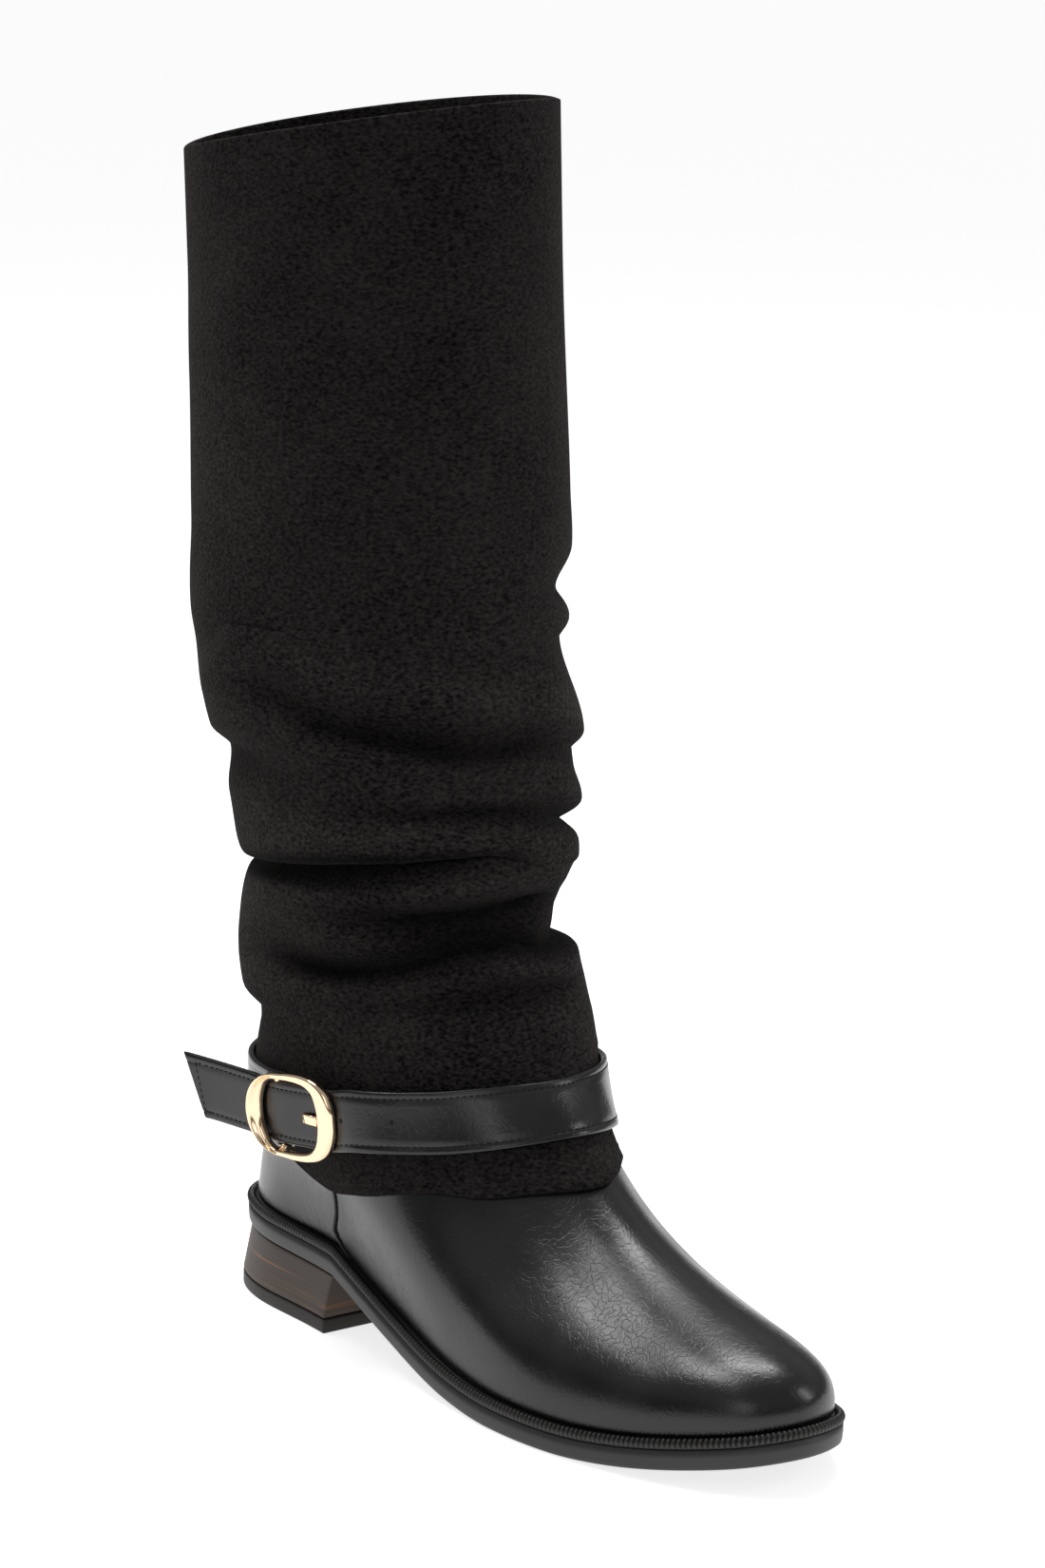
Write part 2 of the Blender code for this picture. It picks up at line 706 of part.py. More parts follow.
def strap_spot(distance):
    """Middle of the strap's upper pass at a distance in front of the bar, and its direction out."""
    turns = np.linspace(places + 3, places + leave_place, 40)
    wrapped = [(inner[1], outer[1]) for inner, outer in wrapped_rows(turns)]
    bar, _, _, out = bar_frame()
    start = bar + out * tail_base()
    wrapped.append((start, start + out * strap_thickness))
    inner, outer = np.array(wrapped).transpose(1, 0, 2)
    steps = np.linalg.norm(np.diff(inner, axis=0), axis=1)
    left = np.append(np.cumsum(steps[::-1])[::-1], 0)
    spot = np.array([np.interp(distance, left[::-1], column[::-1]) for column in inner.T])
    facing = np.array([np.interp(distance, left[::-1], column[::-1]) for column in (outer - inner).T])
    return spot, facing / np.linalg.norm(facing)


def make_strap(leather):
    lower = np.append(chape_place, np.arange(7.5, places + slack_place, 0.5))
    upper = np.linspace(places + slack_place, places + leave_place, 5)
    rows = chape_rows() + wrapped_rows(np.append(lower, upper)) + tail_rows()
    strap = ribbon("ankle_strap", rows, leather)
    bar, ahead, up, out = bar_frame()
    for number, distance in enumerate(hole_rows):
        spot, facing = strap_spot(prong_hole + distance)
        side = np.cross(facing, up)
        turns = np.radians(np.arange(0, 360, 36))[:, None]
        flat = spot + facing * strap_thickness / 2 + hole_radius * (side * np.cos(turns) + up * np.sin(turns))
        cut(strap, prism(f"hole_{number}", flat, facing * strap_thickness))
    half = prong_width / 2 + gap
    low, high = prong_thickness / 2 + gap, prong_thickness * 1.5 + gap
    flat = [(-high, -half), (low, -half), (low, half), (-high, half)]
    middle = bar + ahead * prong_hole + out * (tail_base() + strap_thickness / 2)
    flat = np.array([middle + ahead * a + up * b for a, b in flat])
    cut(strap, prism("prong_hole", flat, out * strap_thickness))
    reach = bar_corner() + gap + chape_thickness + gap / 2
    flat = [(-reach - gap, -reach), (reach + gap, -reach), (reach + gap, reach), (-reach - gap, reach)]
    flat = np.array([bar + ahead * a + out * n for a, n in flat])
    cut(strap, prism("prong_slot", flat, up * half))


def make_buckle(brass):
    bar, ahead, up, out = bar_frame()
    base = tail_base() + strap_thickness + gap
    lower = [(a, -b, c, -d) for a, b, c, d in frame_rows[-2:0:-1]]
    rings = []
    for oa, ou, ia, iu in frame_rows + lower:
        reach = frame_front if oa > 0 else frame_back
        outer = np.array([oa * reach, ou * frame_half_height])
        inner = np.array([ia * reach, iu * frame_half_height])
        groove = 0.4 if oa < -0.1 else 0.0
        section = [
            (1.0, 0.0),
            (0.0, 0.0),
            (0.0, 0.65),
            (0.15, 1.0),
            (0.5, 1.0 - groove),
            (0.85, 1.0),
            (1.0, 0.65),
        ]
        ring = []
        for share, rise in section:
            a, b = outer + (inner - outer) * share
            ring.append(bar + ahead * a + up * b + out * (base + rise * frame_thickness))
        rings.append(ring)
    rings = np.array(rings)
    faces = []
    count = rings.shape[1]
    for step in range(len(rings)):
        a, b = step * count, (step + 1) % len(rings) * count
        for c in range(count):
            d = (c + 1) % count
            faces.append((a + c, a + d, b + d, b + c))
    frame = solid("buckle_frame", rings.reshape(-1, 3), faces, brass)
    notch = frame_rows[6]
    top = notch[1] * frame_half_height - gap / 2
    edge = notch[3] * frame_half_height + gap / 2
    post = base + frame_thickness / 3
    rod = [(-top, post), (-top, -bar_radius), (top, -bar_radius), (top, post), (edge, post), (edge, bar_radius)]
    rod += [(-edge, bar_radius), (-edge, post)]
    flat = np.array([bar + up * b + out * n for b, n in rod])
    cut(frame, prism("bar_rod", flat, ahead * bar_radius), "UNION")


def make_prong(brass):
    bar, ahead, up, out = bar_frame()
    half = prong_thickness / 2
    hook = bar_corner() + gap + half
    turns = np.radians((60, 100, 140, 180, 220, 260, 290))
    path = [(hook * math.cos(a), hook * math.sin(a)) for a in turns]
    strap_inner = tail_base()
    strap_outer = strap_inner + strap_thickness
    tip = frame_rows[0][2] * frame_front - gap
    path += [
        (prong_hole / 2, strap_inner - 2 * gap - half),
        (prong_hole, strap_inner - gap - half),
        (prong_hole, strap_outer + 2 * gap + half),
        (tip, strap_outer + 4 * gap + half),
    ]
    path = np.array(path)
    steps = np.diff(path, axis=0)
    steps /= np.linalg.norm(steps, axis=1, keepdims=True)
    normals = np.stack([-steps[:, 1], steps[:, 0]], 1)
    normals = np.vstack([normals[:1], normals[:-1] + normals[1:], normals[-1:]])
    first = np.vstack([steps[:1], steps])
    square = np.stack([-first[:, 1], first[:, 0]], 1)
    normals /= np.sum(normals * square, axis=1, keepdims=True)
    ring = np.vstack([path + normals * half, (path - normals * half)[::-1]])
    flat = np.array([bar + ahead * a + out * n for a, n in ring])
    prism("buckle_prong", flat, up * prong_width / 2, brass)


def main():
    for obj in list(bpy.data.objects):
        bpy.data.objects.remove(obj)
    leather = material("black_leather", (0.012, 0.012, 0.013), 0.32)
    suede = material("black_suede", (0.012, 0.010, 0.009), 0.9)
    rubber = material("black_rubber", (0.02, 0.02, 0.022), 0.6)
    wood = material("stacked_wood", (0.09, 0.045, 0.025), 0.45)
    brass = material("polished_brass", (0.86, 0.67, 0.40), 0.2, 1.0)
    make_sole(rubber, leather)
    make_heel(wood, rubber)
    make_upper(leather)
    make_shaft(suede)
    make_seam("seam_strip_outer", 1, leather)
    make_seam("seam_strip_inner", -1, leather)
    make_strap(leather)
    make_buckle(brass)
    make_prong(brass)


if __name__ == "__main__":
    main()
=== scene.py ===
import json
import math

import bmesh
import bpy
import numpy as np
from mathutils import Matrix, Vector


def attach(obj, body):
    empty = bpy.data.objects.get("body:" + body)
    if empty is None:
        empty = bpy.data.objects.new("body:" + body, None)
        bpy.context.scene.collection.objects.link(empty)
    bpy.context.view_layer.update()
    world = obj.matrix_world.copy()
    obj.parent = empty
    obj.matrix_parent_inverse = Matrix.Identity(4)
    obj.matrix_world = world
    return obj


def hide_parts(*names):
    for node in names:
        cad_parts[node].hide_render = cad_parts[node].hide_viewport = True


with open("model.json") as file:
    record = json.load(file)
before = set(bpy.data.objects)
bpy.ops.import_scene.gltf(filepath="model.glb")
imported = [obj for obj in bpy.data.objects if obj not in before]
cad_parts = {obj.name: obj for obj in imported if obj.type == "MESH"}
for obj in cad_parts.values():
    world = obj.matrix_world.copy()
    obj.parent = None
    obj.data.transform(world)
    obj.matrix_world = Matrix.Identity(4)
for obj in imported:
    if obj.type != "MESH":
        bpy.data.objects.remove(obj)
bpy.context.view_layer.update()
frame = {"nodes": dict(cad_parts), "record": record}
print("stage: frame loaded")

# The boot's own surface, in metres: along from the back of the sole, across outwards, up
sole = {
    "soleLength": 0.266,
    "ballWidth": 0.086,
    "soleHeight": 0.0097,
    "toeSpring": 0.0103,
    "seatBack": 0.0323,
    "seatFront": 0.0303,
    "seatEnd": 0.27,
    "ballBack": 0.635,
    "ballFront": 0.735,
    "weltLedge": 0.0032,
    "heelCentre": 0.030,
    "gap": 0.0003,
}
ankleShape = {"height": 0.098, "centre": 0.0765, "offset": -0.003, "length": 0.118, "width": 0.0895}
calfShape = {
    "rim": 0.386,
    "front": 0.0047,
    "inner": 0.0077,
    "dip": 0.0045,
    "arch": 0.0072,
    "centre": 0.044,
    "length": 0.1262,
    "width": 0.1012,
}
wall = {"upper": 0.0018, "shaft": 0.0016}

# share of the length, half widths outer and inner, from the toe round to the heel
outlineRows = [
    (1.000, -0.03, -0.03),
    (0.976, 0.37, -0.44),
    (0.915, 0.64, -0.72),
    (0.820, 0.87, -0.94),
    (0.690, 1.01, -0.99),
    (0.550, 0.96, -0.79),
    (0.400, 0.82, -0.61),
    (0.240, 0.69, -0.63),
    (0.105, 0.61, -0.61),
    (0.026, 0.38, -0.38),
    (0.000, 0.00, 0.00),
]
places = 2 * (len(outlineRows) - 1)

# place, bearing on the ankle, lower handle up and out, upper handle length and tilt
meridianRows = [
    (0, 0, 0.0318, 0.0050, 0.0850, 33),
    (2, 20, 0.0280, 0.0040, 0.0850, 22),
    (4, 44, 0.0250, 0.0027, 0.0620, 3),
    (6, 78, 0.0225, 0.0023, 0.0370, 3),
    (8, 128, 0.0222, -0.0020, 0.0230, 2),
    (10, 180, 0.0222, -0.0020, 0.0230, 2),
]
meridianRows += [(places - i, 360 - bearing, *handles) for i, bearing, *handles in meridianRows[4:0:-1]]

# share of the height, centre, length, width
tubeRows = [
    (0.00, 0.00, ankleShape["length"] / calfShape["length"], ankleShape["width"] / calfShape["width"]),
    (0.08, 0.30, 0.930, 0.830),
    (0.17, 0.36, 0.915, 0.870),
    (0.26, 0.44, 0.940, 0.925),
    (0.35, 0.62, 0.955, 0.985),
    (0.45, 0.80, 0.975, 1.040),
    (0.60, 0.78, 0.985, 1.030),
    (0.80, 0.90, 0.995, 1.040),
    (1.00, 1.00, 1.000, 1.040),
]

# place, height of the skirt's edge
skirtRows = [
    (0.0, 0.0672),
    (1.5, 0.0658),
    (3.0, 0.0630),
    (4.5, 0.0618),
    (6.0, 0.0560),
    (6.8, 0.0520),
    (7.6, 0.0585),
    (8.6, 0.0740),
    (10.0, 0.0790),
    (11.4, 0.0740),
    (12.4, 0.0585),
    (13.2, 0.0520),
    (14.5, 0.0580),
    (16.0, 0.0640),
    (17.5, 0.0678),
]

# place, height of the strap's middle
strapRows = [
    (0.0, 0.0861),
    (2.5, 0.0848),
    (4.0, 0.0828),
    (5.3, 0.0812),
    (6.5, 0.0798),
    (8.0, 0.0770),
    (10.0, 0.0752),
    (12.0, 0.0770),
    (14.0, 0.0810),
    (16.0, 0.0840),
    (18.0, 0.0856),
]

foldBearings = [130, 105, 85, 65, 45, 25, 8, -10, -30, -47, -90, -135, -180, -205]

# each crease or bulge by those bearings: level in thousandths of the height, push in mm, hang in mm
foldRows = [
    ([900] * 14, [0] * 14, 0),
    ([800] * 14, [1.2, 0.8, 0.5, 0.3, 0.2, 0.2, 0.2, 0.2, 0.3, 0.4, 0.3, 0.3, 0.5, 1.0], 0),
    ([700] * 14, [2.4, 1.6, 1.0, 0.6, 0.4, 0.3, 0.3, 0.4, 0.8, 1.4, 1.0, 0.8, 1.0, 1.8], 0),
    ([655] * 14, [1.6, 1.2, 0.8, 0.5, 0.4, 0.5, 0.8, 1.2, 2.0, 2.6, 2.0, 1.5, 1.5, 1.5], 0),
    (
        [622, 622, 622, 624, 626, 628, 630, 630, 626, 621, 620, 620, 620, 620],
        [1.4, 1.1, 0.9, 0.8, 0.8, 0.9, 1.0, 0.8, -0.8, -2.2, -1.0, 0.5, 1.0, 1.2],
        0,
    ),
    ([597] * 14, [1.3, 1.1, 1.0, 1.0, 1.0, 1.0, 1.0, 1.0, 1.6, 2.5, 2.0, 1.5, 1.2, 1.3], 0.5),
    (
        [575, 580, 605, 592, 585, 580, 580, 582, 582, 581, 575, 575, 575, 575],
        [1.1, 1.0, 1.4, 1.4, 1.2, 1.0, 1.0, 0.8, 0.2, -0.8, 0.5, 1.2, 1.2, 1.2],
        0,
    ),
    (
        [535, 560, 585, 566, 558, 556, 550, 540, 524, 508, 530, 540, 540, 538],
        [2.6, 2.4, 2.4, 2.6, 2.8, 3.2, 3.0, 3.2, 4.6, 5.7, 4.5, 3.5, 3.0, 2.8],
        0.8,
    ),
    (
        [523, 545, 552, 526, 518, 507, 505, 508, 500, 491, 510, 515, 515, 520],
        [2.9, 1.6, -0.6, -2.4, -3.2, -3.6, -3.6, -2.8, -0.8, 1.2, -1.0, -1.5, -1.0, 1.5],
        0,
    ),
    (
        [502, 514, 520, 509, 504, 494, 491, 494, 488, 478, 492, 496, 498, 500],
        [2.5, 2.4, 2.2, 2.0, 1.8, 1.6, 1.2, 1.0, 1.0, 1.6, 2.5, 2.5, 2.5, 2.5],
        0.6,
    ),
    (
        [484, 490, 486, 480, 478, 475, 474, 473, 463, 452, 465, 470, 475, 482],
        [-2.3, -1.8, 0.2, 1.4, 1.8, 1.6, 1.2, 1.4, 2.8, 3.8, 2.5, 0.5, -0.5, -2.0],
        0,
    ),
    (
        [444, 450, 453, 456, 458, 460, 460, 455, 444, 431.5, 435, 440, 440, 442],
        [1.3, 2.0, 2.4, 2.0, 0.2, -1.8, -2.6, -2.8, -4.0, -5.2, -3.0, -2.0, 0.0, 1.0],
        0,
    ),
    (
        [416, 420, 428, 436, 443, 447, 443, 428, 423, 420.5, 420, 420, 418, 416],
        [1.2, 2.6, 3.6, 4.2, 4.2, 3.8, 3.4, 3.2, 3.2, 3.0, 3.0, 3.0, 2.5, 1.6],
        1.0,
    ),
    (
        [401.5, 409, 416.5, 424.5, 430, 435, 434, 419, 415, 412, 412, 410, 406, 403],
        [0.4, 1.8, 2.8, 3.2, 3.2, 3.0, 2.6, 3.2, 3.4, 3.3, 2.5, 2.0, 1.5, 0.8],
        1.5,
    ),
    (
        [392.5, 398.5, 405, 413, 420, 427, 429, 414, 409, 405, 400, 396, 394, 393],
        [-7.4, -7.2, -6.8, -6.2, -5.6, -4.6, -2.4, 2.6, 2.6, 2.2, -1.0, -4.0, -6.0, -7.0],
        0,
    ),
    (
        [384.5, 388.5, 391, 396, 405, 415, 422, 409, 403, 398, 392, 388, 386, 385],
        [-6.4, -4.6, -3.4, -2.2, -1.6, -0.8, 0.4, 2.4, 1.8, 0.9, 0.0, -2.0, -4.0, -5.5],
        0,
    ),
    (
        [374, 380, 384, 388, 394, 401, 407, 402, 396, 388, 384, 380, 376, 374],
        [-0.6, 1.8, 2.6, 3.0, 3.4, 3.4, 3.2, 1.6, 0.6, -0.9, 0.5, 1.0, 0.5, -0.2],
        0.3,
    ),
    (
        [355, 366, 369, 368, 376, 379, 382, 387, 380, 373, 370, 366, 362, 357],
        [1.5, 3.0, 3.2, 1.4, -2.6, -4.6, -5.0, -4.4, -3.8, -2.9, -1.0, 2.0, 2.0, 1.8],
        0,
    ),
    (
        [336, 350, 352, 353, 353, 362, 371, 369, 362, 357, 355, 350, 345, 338],
        [2.7, 2.4, 2.0, 2.6, 0.6, -3.6, -3.8, -1.2, -3.6, -5.2, -3.0, -1.0, 0.0, 2.0],
        0.4,
    ),
    (
        [314, 323, 320, 320, 327, 340, 352, 343, 339, 336, 334, 330, 325, 318],
        [3.8, 0.4, -3.0, -5.2, -5.8, -5.4, -5.0, -4.8, -5.2, -5.0, -3.0, -2.0, 0.0, 2.0],
        0,
    ),
    (
        [300, 303, 304, 307, 315, 327, 337, 329, 325, 327.5, 318, 314, 308, 303],
        [4.3, 3.4, 2.8, 2.4, 2.4, 2.4, 2.2, 3.0, 4.2, 4.4, 3.5, 3.0, 3.5, 4.0],
        0,
    ),
    (
        [284, 288, 290, 291, 299, 309, 314, 314, 310, 307, 300, 298, 294, 288],
        [4.5, 3.0, 2.2, 1.6, 0.8, -1.2, -2.2, -1.6, 1.4, 4.7, 3.0, 3.0, 3.5, 4.2],
        0,
    ),
    (
        [268, 272, 275, 278, 283, 290, 292, 290, 287, 284, 282, 278, 274, 270],
        [0.0, 0.8, 1.6, 1.8, 1.8, 1.6, 1.6, 2.0, 3.2, 4.0, 3.0, 2.5, 1.5, 0.4],
        0,
    ),
    ([248] * 14, [1.1, 0.6, 0.4, 0.4, 0.5, 0.6, 0.7, 0.9, 1.2, 1.6, 1.2, 1.0, 0.9, 1.0], 0),
    ([218] * 14, [2.1, 0.5, 0.0, 0.0, 0.2, 0.3, 0.4, 0.6, 1.2, 1.8, 1.5, 1.5, 1.9, 2.2], 0),
    ([170] * 14, [0.8, 0.0, 0.0, 0.0, 0.0, 0.0, 0.0, 0.0, 0.0, 0.3, 0.2, 0.5, 1.0, 1.0], 0),
    ([120] * 14, [0] * 14, 0),
]


def spline(rows, at, period=None):
    rows = np.array(rows, float)
    if period:
        turn = np.zeros(rows.shape[1])
        turn[0] = period
        rows = np.vstack([rows[-3:] - turn, rows, rows[:3] + turn])
        at = np.mod(at, period)
    knots, values = rows[:, 0], rows[:, 1:]
    slopes = np.gradient(values, knots, axis=0)
    span = np.clip(np.searchsorted(knots, at, side="right") - 1, 0, len(knots) - 2)
    step = (knots[span + 1] - knots[span])[..., None]
    t = (at - knots[span])[..., None] / step
    start = (1 + 2 * t) * (1 - t) ** 2 * values[span] + t * (1 - t) ** 2 * step * slopes[span]
    return start + t * t * (3 - 2 * t) * values[span + 1] - t * t * (1 - t) * step * slopes[span + 1]


outlineTable = [(i, a, o) for i, (a, o, _) in enumerate(outlineRows)]
outlineTable += sorted((places - i, a, n) for i, (a, _, n) in enumerate(outlineRows) if 0 < i < places / 2)


def outline(place, inset=0.0):
    size = np.array([sole["soleLength"], sole["ballWidth"] / 2])
    here = spline(outlineTable, place, places) * size
    ahead = (spline(outlineTable, place + 0.02, places) - spline(outlineTable, place - 0.02, places)) * size
    outwards = np.stack([ahead[..., 1], -ahead[..., 0]], -1)
    outwards /= np.linalg.norm(outwards, axis=-1, keepdims=True)
    return here - outwards * np.asarray(inset)[..., None]


def weltTop(along):
    n = sole
    share = along / n["soleLength"]
    seat = n["seatBack"] + (n["seatFront"] - n["seatBack"]) * np.clip(share / n["seatEnd"], 0, 1)
    down = np.clip((share - n["seatEnd"]) / (n["ballBack"] - n["seatEnd"]), 0, 1)
    shank = 0.5 * (1 - down) ** 2 * (1 + 2 * down) + 0.5 * (1 - down) ** 3
    height = n["soleHeight"] + (seat - n["soleHeight"]) * np.where(down > 0, shank, 1.0)
    spring = np.clip((share - n["ballFront"]) / (1 - n["ballFront"]), 0, 1.2)
    return height + n["toeSpring"] * spring**1.7


def meridian(place):
    even = 360 / places
    values = spline([(r[0], r[1] - even * r[0], *r[2:]) for r in meridianRows], place, places)
    return values[..., 0] + even * np.mod(place, places), values[..., 1:]


def footPoints(t, place):
    degrees, handles = meridian(place)
    bearing = np.radians(degrees)
    rise, lean, reach, tilt = np.moveaxis(handles, -1, 0)
    edge = outline(place, sole["weltLedge"])
    start = np.concatenate([edge, (weltTop(edge[..., 0]) + sole["gap"])[..., None]], -1)
    outLow = outline(place, 0.0) - edge
    outLow /= np.linalg.norm(outLow, axis=-1, keepdims=True)
    low = start + np.concatenate([outLow * lean[..., None], rise[..., None]], -1)
    along = ankleShape["centre"] + ankleShape["length"] / 2 * np.cos(bearing)
    across = ankleShape["offset"] + ankleShape["width"] / 2 * np.sin(bearing)
    end = np.stack([along, across, np.full_like(along, ankleShape["height"])], -1)
    swing, drop = reach * np.sin(np.radians(tilt)), -reach * np.cos(np.radians(tilt))
    high = end + np.stack([np.cos(bearing) * swing, np.sin(bearing) * swing, drop], -1)
    t = t[..., None]
    foot = (1 - t) ** 3 * start + 3 * t * (1 - t) ** 2 * low + 3 * t * t * (1 - t) * high + t**3 * end
    push, _ = slouch(foot[..., 2] / calfShape["rim"], degrees)
    foot[..., 0] += push * np.cos(bearing)
    foot[..., 1] += push * np.sin(bearing)
    return foot


def slouch(height, degrees):  # push outwards and hang downwards of the cloth
    order = np.argsort(np.mod(foldBearings, 360))
    bearings = np.mod(foldBearings, 360)[order]
    columns = []
    for levels, pushes, hang in foldRows[::-1]:
        table = [(b, levels[i] / 1000, pushes[i]) for b, i in zip(bearings, order)]
        columns.append((spline(table, degrees, 360), hang))
    levels = np.stack([c[..., 0] for c, _ in columns])
    values = np.stack([np.stack([c[..., 1], np.full_like(degrees, hang)]) for c, hang in columns])
    steps = np.maximum(np.diff(levels, axis=0), 1e-4)
    rates = np.diff(values, axis=0) / steps[:, None]
    slopes = np.zeros_like(values)
    same = rates[1:] * rates[:-1] > 0
    mean = 2 * rates[1:] * rates[:-1] / np.where(same, rates[1:] + rates[:-1], 1)
    slopes[1:-1] = np.where(same, mean, 0)
    result = np.zeros((2,) + np.shape(height))
    for k in range(len(steps)):
        t = (height - levels[k]) / steps[k]
        here = (t >= 0) & (t < 1)
        curve = (1 + 2 * t) * (1 - t) ** 2 * values[k] + t * (1 - t) ** 2 * steps[k] * slopes[k]
        curve = curve + t * t * (3 - 2 * t) * values[k + 1] - t * t * (1 - t) * steps[k] * slopes[k + 1]
        result = np.where(here, curve, result)
    return result[0] / 1000, result[1] / 1000


def tubePoints(t, place):
    degrees, _ = meridian(place)
    bearing = np.radians(degrees)
    values = spline(tubeRows, t)
    centre = ankleShape["centre"] + (calfShape["centre"] - ankleShape["centre"]) * values[..., 0]
    height = ankleShape["height"] + (calfShape["rim"] - ankleShape["height"]) * t
    push, droop = slouch(height / calfShape["rim"], degrees)
    along = centre + (calfShape["length"] / 2 * values[..., 1] + push) * np.cos(bearing)
    across = ankleShape["offset"] * (1 - values[..., 0])
    across = across + (calfShape["width"] / 2 * values[..., 2] + push) * np.sin(bearing)
    tilt = calfShape["front"] * np.cos(bearing) - calfShape["inner"] * np.sin(bearing)
    tilt = tilt - calfShape["dip"] + calfShape["arch"] * np.clip(np.cos(bearing - 0.7), 0, 1)
    return np.stack([along, across, height + tilt * t**3 - droop], -1)


def bareBody(s, place):
    foot = footPoints(np.clip(s, 0, 1), place)
    tube = tubePoints(np.clip(s - 1, 0, 1), place)
    return np.where((s > 1)[..., None], tube, foot)


def body(s, place, lift=0.0):
    s, place = np.broadcast_arrays(np.asarray(s, float), np.asarray(place, float))
    step = 0.004
    up = bareBody(np.clip(s + step, 0, 2), place) - bareBody(np.clip(s - step, 0, 2), place)
    side = bareBody(s, place + 5 * step) - bareBody(s, place - 5 * step)
    normal = np.cross(side, up)
    normal /= np.linalg.norm(normal, axis=-1, keepdims=True)
    return bareBody(s, place) + normal * np.asarray(lift)[..., None]


heightSteps, placeSteps = 80, 400
tableShares = np.linspace(0, 1, heightSteps + 1)
tablePlaces = np.linspace(0, places, placeSteps + 1)
heightTable = footPoints(*np.broadcast_arrays(tableShares[:, None], tablePlaces))[..., 2]


def shareAt(height, place):  # how far up the foot's meridians a height lies
    height, place = np.broadcast_arrays(np.asarray(height, float), np.asarray(place, float))
    column = np.mod(place, places) / places * placeSteps
    low = np.clip(column.astype(int), 0, placeSteps - 1)
    part = column - low
    out = np.empty(height.size)
    for i, (h, c, p) in enumerate(zip(height.ravel(), low.ravel(), part.ravel())):
        out[i] = np.interp(h, heightTable[:, c] * (1 - p) + heightTable[:, c + 1] * p, tableShares)
    return out.reshape(height.shape)


def toWorld(points):
    along, across, up = np.moveaxis(np.asarray(points, float), -1, 0)
    return np.stack([-across, sole["heelCentre"] - along, up], -1)


def runLength(points):
    return np.append(0, np.cumsum(np.linalg.norm(np.diff(points, axis=0), axis=1)))


# Making pieces
def addObject(name, data):
    added = bpy.data.objects.new(name, data)
    bpy.context.scene.collection.objects.link(added)
    return added


def finishPiece(name, work, slot, replaced=(), look=None):
    mesh = bpy.data.meshes.new(name)
    work.to_mesh(mesh)
    work.free()
    mesh.polygons.foreach_set("use_smooth", [True] * len(mesh.polygons))
    mesh.materials.append(looks[look or slot])
    piece = addObject(name, mesh)
    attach(piece, "root")
    if replaced:
        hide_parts(*replaced)
    return piece


def wrapSheet(across, up, shape, size=(1.0, 1.0), closeAcross=True, closeUp=False, caps=False):
    work = bmesh.new()
    bmesh.ops.create_grid(work, x_segments=across, y_segments=up, size=0.5)
    flat = np.array([v.co[:2] for v in work.verts]) + 0.5
    wrap = work.loops.layers.uv.new("wrap")
    for face in work.faces:
        for loop in face.loops:
            spot = loop.vert.co
            loop[wrap].uv = ((spot.x + 0.5) * size[0], (spot.y + 0.5) * size[1])
    placed = toWorld(shape(flat[:, 0], flat[:, 1]))
    for vert, spot in zip(work.verts, placed.tolist()):
        vert.co = spot
    if closeAcross or closeUp:
        bmesh.ops.remove_doubles(work, verts=work.verts, dist=1e-6)
    if caps:
        bmesh.ops.holes_fill(work, edges=[e for e in work.edges if e.is_boundary], sides=0)
    bmesh.ops.recalc_face_normals(work, faces=work.faces)
    return work


def turnOut(work):  # faces outwards, for closed and open skins alike
    bmesh.ops.recalc_face_normals(work, faces=work.faces)
    middle = sum((f.calc_center_median() for f in work.faces), Vector()) / len(work.faces)
    if sum(f.calc_area() * f.normal.dot(f.calc_center_median() - middle) for f in work.faces) < 0:
        bmesh.ops.reverse_faces(work, faces=work.faces)


def capAcross(work, ring):  # strips from side to side over an end ring that is even on both sides
    count = len(ring)
    for i in range(count // 2):
        corners = [ring[i], ring[i + 1], ring[(count - i - 1) % count], ring[(count - i) % count]]
        corners = [c for n, c in enumerate(corners) if c not in corners[:n]]
        work.faces.new(corners)


def addRod(work, low, high, radius, sides):
    low, high = (Vector(spot) for spot in toWorld(np.array([low, high])).tolist())
    turn = (high - low).to_track_quat("Z", "Y").to_matrix().to_4x4()
    place = Matrix.Translation((low + high) / 2) @ turn
    size = {"radius1": radius, "radius2": radius, "depth": (high - low).length}
    bmesh.ops.create_cone(work, cap_ends=True, segments=sides, matrix=place, **size)


def joinRings(work, rings):
    rings = [[work.verts.new(spot) for spot in toWorld(ring).tolist()] for ring in rings]
    for below, above in zip(rings, rings[1:]):
        for i in range(len(below)):
            j = (i + 1) % len(below)
            work.faces.new((below[i], below[j], above[j], above[i]))
    return rings


# Materials
def newMaterial(name, colour, roughness, metallic=0.0):
    shade = bpy.data.materials.new(name)
    shade.use_nodes = True
    shader = shade.node_tree.nodes["Principled BSDF"]
    shader.inputs["Base Color"].default_value = (*colour, 1)
    shader.inputs["Roughness"].default_value = roughness
    shader.inputs["Metallic"].default_value = metallic
    return shade


def drive(tree, socket, source):
    tree.links.new(source, tree.nodes["Principled BSDF"].inputs[socket])


def addNode(tree, kind, links=(), **values):
    node = tree.nodes.new("ShaderNode" + kind)
    for key, value in values.items():
        if hasattr(node, key):
            setattr(node, key, value)
        else:
            node.inputs[key.replace("_", " ")].default_value = value
    for source, socket in links:
        tree.links.new(source, node.inputs[socket])
    return node


def addNoise(tree, source, **values):
    return addNode(tree, "TexNoise", [(source, "Vector")], **values)


def addMath(tree, first, factor, added):  # first times factor, plus added
    node = addNode(tree, "Math", [(first, 0), (added, 2)], operation="MULTIPLY_ADD")
    node.inputs[1].default_value = factor
    return node.outputs[0]


